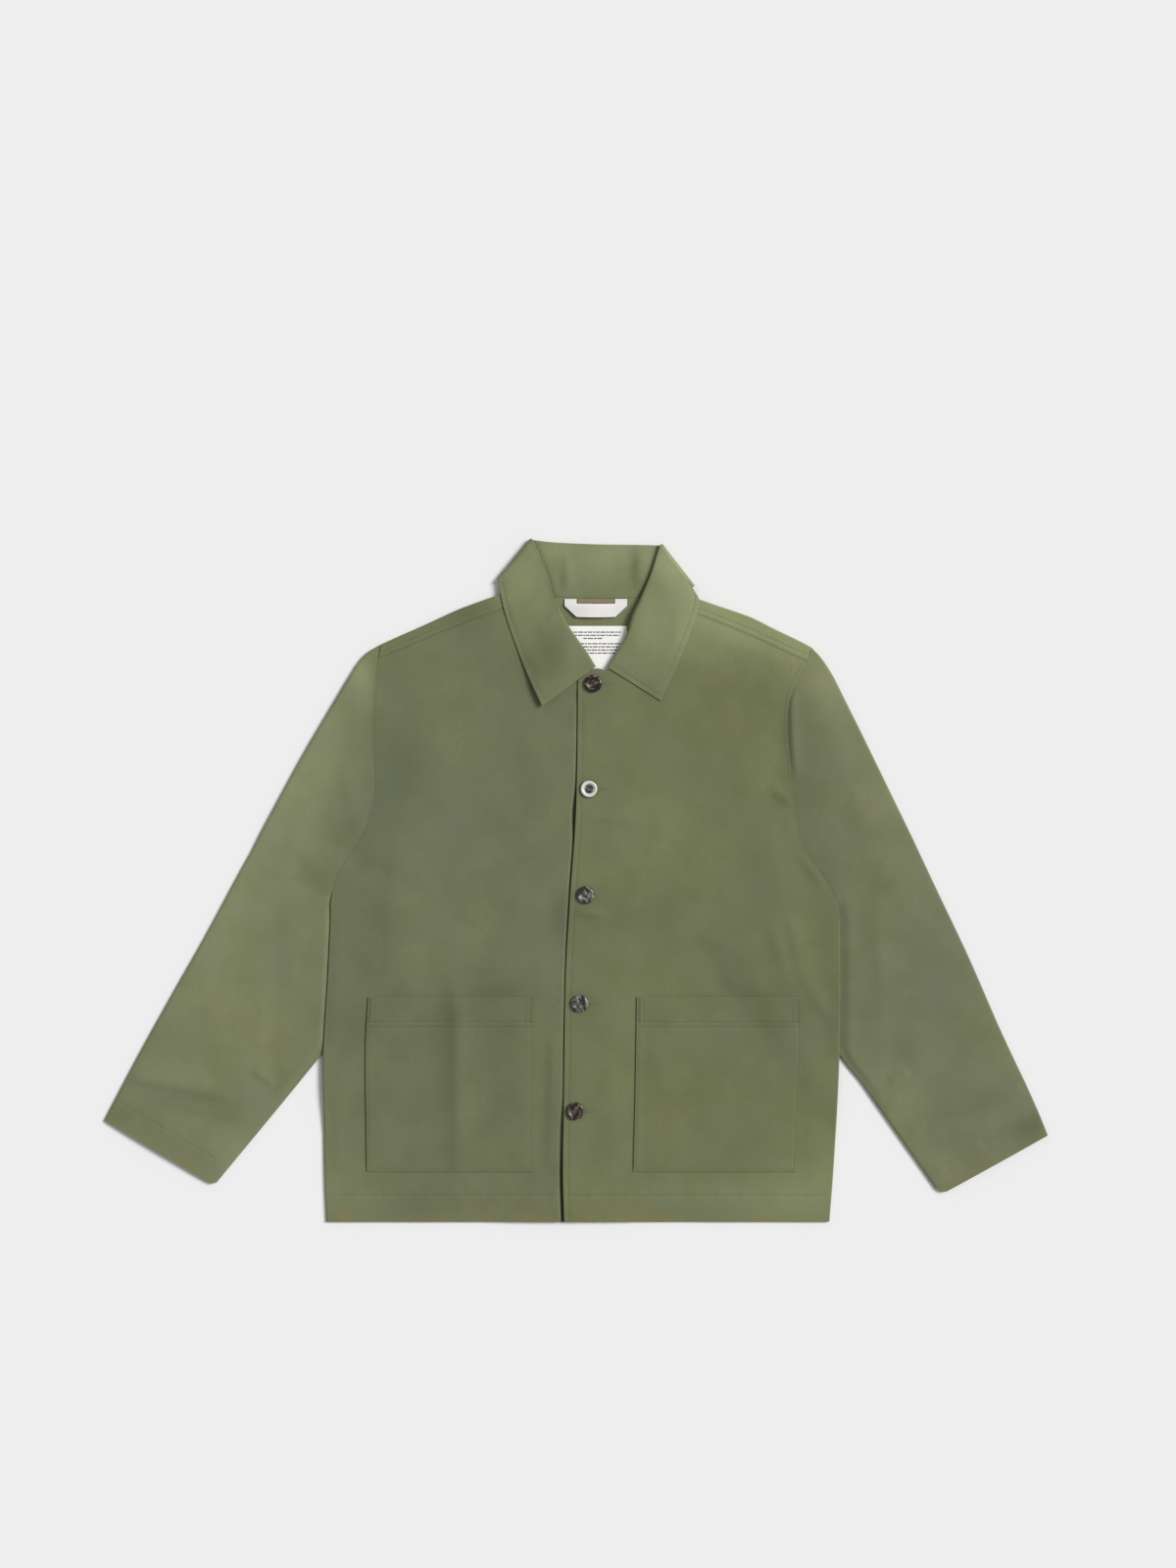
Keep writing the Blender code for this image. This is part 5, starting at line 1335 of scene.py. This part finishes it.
def button(number, x, y, turn, material, thread):
    """A turned disc: its profile carried round, with four holes cut through and thread in them.

    Each thread is a round section carried from hole to hole, arched over the face, its ends sunk.
    """
    node = f"button_{number}"
    bottom = BUTTON_REST[number - 1] - PLACE[2]
    profile = np.array(BUTTON_PROFILE)
    run = running_length(profile)
    at = np.unique(np.r_[run, np.linspace(0, run[-1], 40)].round(5))
    radius = np.interp(at, run, profile[:, 0])[:, None] * BUTTON_RADIUS
    height = np.interp(at, run, profile[:, 1])[:, None] * BUTTON_THICKNESS
    angle = np.linspace(0.0, 2 * np.pi, 65)
    disc = pairs(radius * np.cos(angle), radius * np.sin(angle))
    grid = with_height(disc + [x, y], bottom + height + 0 * angle)
    piece = add_piece(f"{node}_horn", mesh_of(f"{node}_horn", [(grid, disc, 0.0)]), material)
    quarters = turn + np.pi / 4 + np.arange(4) * np.pi / 2
    holes = [x, y] + THREAD_HOLE_OFF * pairs(np.cos(quarters), np.sin(quarters))
    pins = bmesh.new()
    bore = THREAD_HOLE_RADIUS * MM
    for hole in holes:
        pin = bmesh.ops.create_cone(
            pins, cap_ends=True, segments=20, radius1=bore, radius2=bore, depth=9 * MM
        )
        middle = (np.array([*hole, bottom + 1.5]) + PLACE) * MM
        bmesh.ops.translate(pins, verts=pin["verts"], vec=middle.tolist())
    pin_mesh = bpy.data.meshes.new("pins")
    pins.to_mesh(pin_mesh)
    pins.free()
    cutter = placed("pins", pin_mesh)
    cut = piece.modifiers.new("holes", "BOOLEAN")
    cut.object, cut.operation, cut.solver = cutter, "DIFFERENCE", "EXACT"
    bpy.context.view_layer.update()
    drilled = piece.evaluated_get(bpy.context.evaluated_depsgraph_get())
    done = bpy.data.meshes.new_from_object(drilled)
    piece.modifiers.clear()
    piece.data = done
    done.materials.clear()
    done.materials.append(material)
    bpy.data.objects.remove(cutter)
    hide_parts(node)
    share = np.linspace(-0.08, 1.08, 15)
    lift = 0.42 * np.clip(np.sin(np.pi * (share + 0.08) / 1.16), 0, 1) ** 0.35 - 0.25
    sunk = 2.0 * ((share < 0.0) | (share > 1.0))
    phi = np.linspace(0, 2 * np.pi, 9)
    face = bottom + BUTTON_PROFILE[0][1] * BUTTON_THICKNESS
    z = (face + lift - sunk)[:, None] + 0.3 * np.sin(phi)[None, :]
    grids = []
    for start, end in ((holes[0], holes[1]), (holes[3], holes[2])):
        across = unit(np.array([-(end - start)[1], (end - start)[0]]))
        for off in (-0.32, 0.32):
            plan = start + share[:, None] * (end - start) + across * off
            ring = plan[:, None] + across * (0.3 * np.cos(phi))[None, :, None]
            grids.append((with_height(ring, z), np.zeros(2), 0.0))
    add_piece(f"{node}_thread", mesh_of(f"{node}_thread", grids), thread)


def label(material, bar_material):
    """The label over the back, slightly wavy, with rows of plain woven bars."""
    (x0, x1), (y0, y1) = LABEL_X, LABEL_Y

    def woven(x, y, above=0.0):
        """Every x with every y, over the back by the tape's lift and a shallow wave."""
        px, py = np.meshgrid(x, y)
        wave = 0.18 * np.sin(px / 9.0) * np.cos(py / 13.0)
        return np.stack([px, py, back_height(px, py) + TAPE_LIFT + wave + above], axis=-1)

    ends = (0.4, 1.0)
    grid = woven(x0 + spaced(x1 - x0, 2.0, [], ends), y0 + spaced(y1 - y0, 2.0, [], ends))
    piece = cloth_piece("neck_label", [(grid, grid[..., :2], 0.0)], TAPE_WALL, material, 0.3)
    grids = []
    for row, (start, end) in enumerate(LABEL_BARS):
        low = y1 - 7.6 - LABEL_BAR_PITCH * row - (2.4 if row > 2 else 0.0)
        height = np.linspace(low, low + LABEL_BAR_HEIGHT, 3)
        k = row * 3
        while start < end:
            long = 2.2 + 1.9 * ((k * 7) % 5) / 2.0
            bar = woven(np.linspace(start, min(start + long, end), 4), height, TAPE_WALL / 2 + 0.04)
            grids.append((bar, np.zeros(2), 0.0))
            start += long + 0.9
            k += 1
    mesh = mesh_of("neck_label_bars", grids, False)
    thickened(add_piece("neck_label_bars", mesh, bar_material), 0.05)
    return piece


def hanger_loop(material):
    """The loop's band between its two legs, a little bowed off the back."""
    middle = (LOOP_LEFT + LOOP_RIGHT) / 2
    inner_left, inner_right = LOOP_LEFT + LOOP_LEG, LOOP_RIGHT - LOOP_LEG
    ends = spaced(LOOP_LEG, 1.7, [], (0.4, 1.0))
    x = np.r_[LOOP_LEFT + ends, np.linspace(inner_left, inner_right, 26)[1:-1], inner_right + ends]
    share = np.abs(x - middle) / (LOOP_RIGHT - middle)
    slanted = np.clip((share - 0.62) / 0.38, 0.0, 1.0)
    low = LOOP_BOTTOM_Y + 1.5 * share**2 + 11.5 * slanted
    high = LOOP_BOTTOM_Y + LOOP_BAND + 0.6 * share

    def raised(px, py):
        """Points over the back by the tape's lift, bowed up in the band's middle."""
        bow = 2.6 * bell(px - middle + 8.0, 30.0) * ease((LOOP_TOP_Y - 1.0 - py) / 8.0)
        return np.stack([px, py, back_height(px, py) + TAPE_LIFT + bow], axis=-1)

    t = shares(15.0, 1.6, [], (0.4, 1.0))
    band = raised(np.broadcast_to(x, (len(t), len(x))), low + t[:, None] * (high - low))
    parts = [band]
    for foot in (band[-1, : len(ends)], band[-1, -len(ends) :]):
        py = foot[:, 1] + np.linspace(0.0, 1.0, 5)[:, None] * (LOOP_TOP_Y - foot[:, 1])
        parts.append(raised(np.broadcast_to(foot[:, 0], py.shape), py))
    grids = [(part, part[..., :2], 0.0) for part in parts]
    return cloth_piece("hanger_loop", grids, TAPE_WALL, material, 0.3)


def neck_tape(material):
    """The narrow tape that shows over the back neck seam between the loop's legs."""
    x = np.linspace(LOOP_LEFT + LOOP_LEG + 0.4, LOOP_RIGHT - LOOP_LEG - 0.4, 20)
    px, py = np.meshgrid(x, np.linspace(*NECK_TAPE_Y, 5))
    grid = np.stack([px, py, back_height(px, py) + WALL / 2 + 0.24], axis=-1)
    mesh = mesh_of("neck_tape", [(grid, grid[..., :2], 0.0)])
    return thickened(add_piece("neck_tape", mesh, material), 0.3)


def linear(colour):
    """sRGB 0 to 1 as linear light."""
    c = np.asarray(colour, float)
    return [*np.where(c <= 0.04045, c / 12.92, ((c + 0.055) / 1.055) ** 2.4).tolist(), 1.0]


class Shader:
    """A material's node tree, with short calls for the nodes used here."""

    def __init__(self, name, finish):
        """Starts a material whose shader has the finish: values that are the same all over it."""
        self.material = bpy.data.materials.new(name)
        self.material.use_nodes = True
        self.tree = self.material.node_tree
        self.surface = self.tree.nodes["Principled BSDF"]
        for socket, value in finish.items():
            self.surface.inputs[socket].default_value = value

    def feed(self, socket, value):
        """Links a node's output to a socket, or sets the socket to a number or colour."""
        if isinstance(value, bpy.types.NodeSocket):
            self.tree.links.new(value, socket)
        else:
            socket.default_value = value

    def node(self, kind, inputs, output, **settings):
        """A new node's output, its settings made before its inputs are fed."""
        made = self.tree.nodes.new(kind)
        for key, value in settings.items():
            setattr(made, key, value)
        for key, value in inputs.items():
            self.feed(made.inputs[key], value)
        return made.outputs[output]

    def place(self):
        """Object coordinates, in metres."""
        return self.node("ShaderNodeTexCoord", {}, "Object")

    def cloth(self):
        """The cloth's own coordinates, in metres along its threads."""
        return self.node("ShaderNodeUVMap", {}, "UV", uv_map="cloth")

    def kept(self, name):
        """A number that the mesh keeps at each point."""
        return self.node("ShaderNodeAttribute", {}, "Fac", attribute_name=name)

    def math(self, operation, a, b):
        """Two values added or multiplied."""
        return self.node("ShaderNodeMath", {0: a, 1: b}, 0, operation=operation)

    def mix(self, share, a, b):
        """Colour a turning into colour b by a share."""
        inputs = {"Factor": share, "A": a, "B": b}
        return self.node("ShaderNodeMix", inputs, "Result", data_type="RGBA")

    def noise(self, vector, scale, detail=2.0, roughness=0.5):
        """Cloudy noise from 0 to 1."""
        inputs = {"Vector": vector, "Scale": scale, "Detail": detail, "Roughness": roughness}
        return self.node("ShaderNodeTexNoise", inputs, "Fac")

    def stretched(self, vector, scale):
        """Coordinates times a scale for each axis."""
        return self.node("ShaderNodeMapping", {"Vector": vector, "Scale": scale}, "Vector")

    def ranged(self, value, low, high, to_low, to_high):
        """A value from low to high carried to another range and held at its ends."""
        inputs = {"From Min": low, "From Max": high, "To Min": to_low, "To Max": to_high}
        inputs["Value"] = value
        return self.node("ShaderNodeMapRange", inputs, "Result")

    def ribs(self, uv, pitch, way):
        """Waves with that many radians to a metre."""
        inputs = {"Vector": uv, "Scale": pitch / (2 * np.pi)}
        return self.node("ShaderNodeTexWave", inputs, "Fac", bands_direction=way)

    def bump(self, height, strength, distance):
        """Fine relief of the surface."""
        inputs = {"Strength": strength, "Distance": distance, "Height": height}
        self.feed(self.surface.inputs["Normal"], self.node("ShaderNodeBump", inputs, "Normal"))

    def done(self, colour):
        """The material, with its colour fed."""
        self.feed(self.surface.inputs["Base Color"], colour)
        return self.material


def canvas(name, colour):
    """Washed cotton canvas: crossed uneven threads, cloudy dye, paler where it is worn, and painted
    light.
    """
    s = Shader(name, CANVAS_FINISH)
    uv, place, base = s.cloth(), s.place(), np.array(colour)
    slubs = (s.noise(s.stretched(uv, scale), 1.0, 2.0, 0.6) for scale in THREAD_SLUBS)
    thread = s.math("ADD", *slubs)
    cloud, patch = s.noise(place, 7.0, 3.0, 0.55), s.noise(place, 26.0, 2.0, 0.5)
    tone = s.ranged(thread, 0.75, 1.25, 0.0, 1.0)
    tone = s.mix(tone, linear(base * 0.955), linear(base * 1.045))
    cooler = s.math("ADD", s.ranged(cloud, 0.38, 0.62, 0.0, 0.85), s.kept("tint"))
    tone = s.mix(cooler, tone, linear(base * COOLER))
    tone = s.mix(s.ranged(patch, 0.42, 0.68, 0.0, 0.75), tone, linear(base * DEEPER))
    rubbed = s.math("MULTIPLY", s.kept("wear"), s.ranged(patch, 0.35, 0.65, 0.2, 1.0))
    tone = s.mix(rubbed, tone, linear(base * RUBBED))
    weave = s.math("MULTIPLY", *(s.ribs(uv, 1250.0, way) for way in "XY"))
    s.bump(s.math("ADD", weave, thread), 0.25, 0.00022)
    # The colour scaled by the kept factor: dye clouds with painted light, and painted shade in
    # crevices.
    scaled_by_dye_and_painted_light = {0: tone, "Scale": s.kept("dye_and_painted_light")}
    return s.done(s.node("ShaderNodeVectorMath", scaled_by_dye_and_painted_light, "Vector", operation="SCALE"))


def sewing_thread(name, colour):
    """Sewing thread: fine paler and darker flecks."""
    s = Shader(name, {"Roughness": 0.7, "Sheen Weight": 0.2})
    fleck = s.ranged(s.noise(s.place(), 900.0, 2.0, 0.6), 0.35, 0.65, 0.0, 1.0)
    base = np.array(colour)
    return s.done(s.mix(fleck, linear(base * 0.82), linear(base * 1.15)))


def woven_tape(name, colour, soiled=0.6):
    """Plain tape: a fine rib across it and faint soiling."""
    s = Shader(name, {"Roughness": 0.8, "Sheen Weight": 0.15})
    soil = s.ranged(s.noise(s.place(), 40.0, 3.0, 0.6), 0.4, 0.7, 0.0, soiled)
    base = np.array(colour)
    s.bump(s.ribs(s.cloth(), 900.0, "X"), 0.3, 0.0002)
    return s.done(s.mix(soil, linear(base), linear(base * SOILED)))


def horn(name, kind, seed):
    """Polished horn: dark with pale streaks and smoke, and on some the raised rim paler with a
    painted reflection.
    """
    dark, pale, share, rim = HORNS[kind]
    s = Shader(name, {"Roughness": 0.3, "Coat Weight": 0.3, "Coat Roughness": 0.15})
    uv = s.cloth()
    shift = {"Location": (0.13 * seed, 0.29 * seed, 0.0), "Rotation": (0.0, 0.0, 0.9 + 0.5 * seed)}
    moved = s.node("ShaderNodeMapping", {"Vector": uv, **shift}, "Vector")
    streak = s.noise(s.stretched(moved, (300.0, 90.0, 1.0)), 1.0, 3.0, 0.6)
    smoke = s.noise(moved, 260.0, 3.0, 0.6)
    blend = s.math("ADD", s.math("MULTIPLY", streak, 0.7), s.math("MULTIPLY", smoke, 0.3))
    middle = 0.52 - 0.1 * share
    tone = s.ranged(blend, middle - 0.04, middle + 0.07, 0.0, 1.0)
    tone = s.mix(tone, linear(dark), linear(pale))
    # Painted reflection: a pale ring over the raised rim.
    off = s.node("ShaderNodeVectorMath", {0: uv}, "Value", operation="LENGTH")
    inner, outer = s.ranged(off, 0.0050, 0.0057, 0.0, 1.0), s.ranged(off, 0.0088, 0.0094, 1.0, 0.0)
    ring = s.math("MULTIPLY", s.math("MULTIPLY", inner, outer), rim)
    return s.done(s.mix(ring, tone, linear(RIM_GLARE_COLOUR)))


def woven_weft(name, colour):
    """Dull weft thread with faint specks."""
    s = Shader(name, {"Roughness": 0.9})
    base = np.array(colour)
    speck = s.noise(s.place(), 600.0, 2.0, 0.5)
    return s.done(s.mix(speck, linear(base * 0.96), linear(base * 1.02)))


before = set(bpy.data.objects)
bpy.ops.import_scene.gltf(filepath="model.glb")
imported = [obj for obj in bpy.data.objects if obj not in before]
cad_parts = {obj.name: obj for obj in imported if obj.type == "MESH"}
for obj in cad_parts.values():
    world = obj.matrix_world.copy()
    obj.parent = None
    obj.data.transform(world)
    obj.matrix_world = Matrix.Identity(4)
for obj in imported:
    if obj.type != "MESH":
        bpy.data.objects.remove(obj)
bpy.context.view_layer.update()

finishes = {node: canvas(f"canvas_{node}", colour) for node, colour in CANVAS.items()}
thread = sewing_thread("sewing_thread", THREAD_COLOUR)
pale_thread = sewing_thread("pale_thread", PALE_THREAD_COLOUR)
hole_thread = sewing_thread("buttonhole_thread", HOLE_THREAD_COLOUR)
button_thread = sewing_thread("button_thread", BUTTON_THREAD_COLOUR)
tape = woven_tape("white_tape", TAPE_COLOUR)
label_tape = woven_tape("label_tape", LABEL_COLOUR, 0.15)
woven_bar = woven_weft("woven_bars", BAR_COLOUR)
brown_tape = woven_tape("brown_tape", BROWN_TAPE_COLOUR)

made = {"back": back_cloth(finishes["back"])}
for side, hand in SIDES.items():
    for kind, panel in (("front", front_cloth), ("pocket", pocket_cloth), ("sleeve", sleeve_cloth)):
        node = f"{kind}_{hand}"
        made[node] = panel(side, node, finishes[node])
made["collar"] = collar_cloth(finishes["collar"])
made["neck_label"] = label(label_tape, woven_bar)
made["hanger_loop"] = hanger_loop(tape)
made["neck_tape"] = neck_tape(brown_tape)

for side, hand in SIDES.items():
    front_stitches(side, f"front_{hand}", thread)
    armhole_stitches(side, f"front_{hand}", pale_thread)
    pocket_stitches(side, f"pocket_{hand}", thread)
    sleeve_stitches(side, f"sleeve_{hand}", pale_thread)
shoulder_stitches(thread)
collar_stitches(pale_thread)
buttonholes(hole_thread)
for number, (x, y, turn, kind) in enumerate(BUTTONS, 1):
    button(number, x, y, turn, horn(f"horn_{number}", kind, number), button_thread)

# Floor, camera and light.
FLOOR_HALF, FLOOR_Z = 30.0, -0.0006
FLOOR_FINISH = {
    "Base Color": (0.925, 0.925, 0.925, 1.0), "Roughness": 1.0, "Specular IOR Level": 0.0,
}
CAMERA_PLACE, VIEW_LONG_SIDE, SENSOR = (0.0132, 0.1099, 3.0), 1.760, 36.0
SUN_POWER, SUN_ANGLE, SUN_TURN = 2.75, 0.45, (-0.305, 0.794, 0.0)
SKY_POWER = 0.34

turns = ((-1, -1), (1, -1), (1, 1), (-1, 1))
corners = [(x * FLOOR_HALF, y * FLOOR_HALF, FLOOR_Z) for x, y in turns]
floor_mesh = bpy.data.meshes.new("floor")
floor_mesh.from_pydata(corners, [], [(0, 1, 2, 3)])
floor_mesh.materials.append(Shader("pale_floor", FLOOR_FINISH).material)
placed("floor", floor_mesh)

camera_data = bpy.data.cameras.new("camera")
camera_data.sensor_width = SENSOR
camera_data.lens = SENSOR * CAMERA_PLACE[2] / VIEW_LONG_SIDE
camera = placed("camera", camera_data)
camera.location = CAMERA_PLACE
bpy.context.scene.camera = camera

sun_data = bpy.data.lights.new("soft_key", "SUN")
sun_data.energy, sun_data.angle = SUN_POWER, SUN_ANGLE
placed("soft_key", sun_data).rotation_euler = SUN_TURN
world = bpy.data.worlds.new("studio")
world.use_nodes = True
world.node_tree.nodes["Background"].inputs["Color"].default_value = (1.0, 1.0, 1.0, 1.0)
world.node_tree.nodes["Background"].inputs["Strength"].default_value = SKY_POWER
bpy.context.scene.world = world
bpy.context.scene.view_settings.view_transform = "Standard"

bpy.context.view_layer.update()
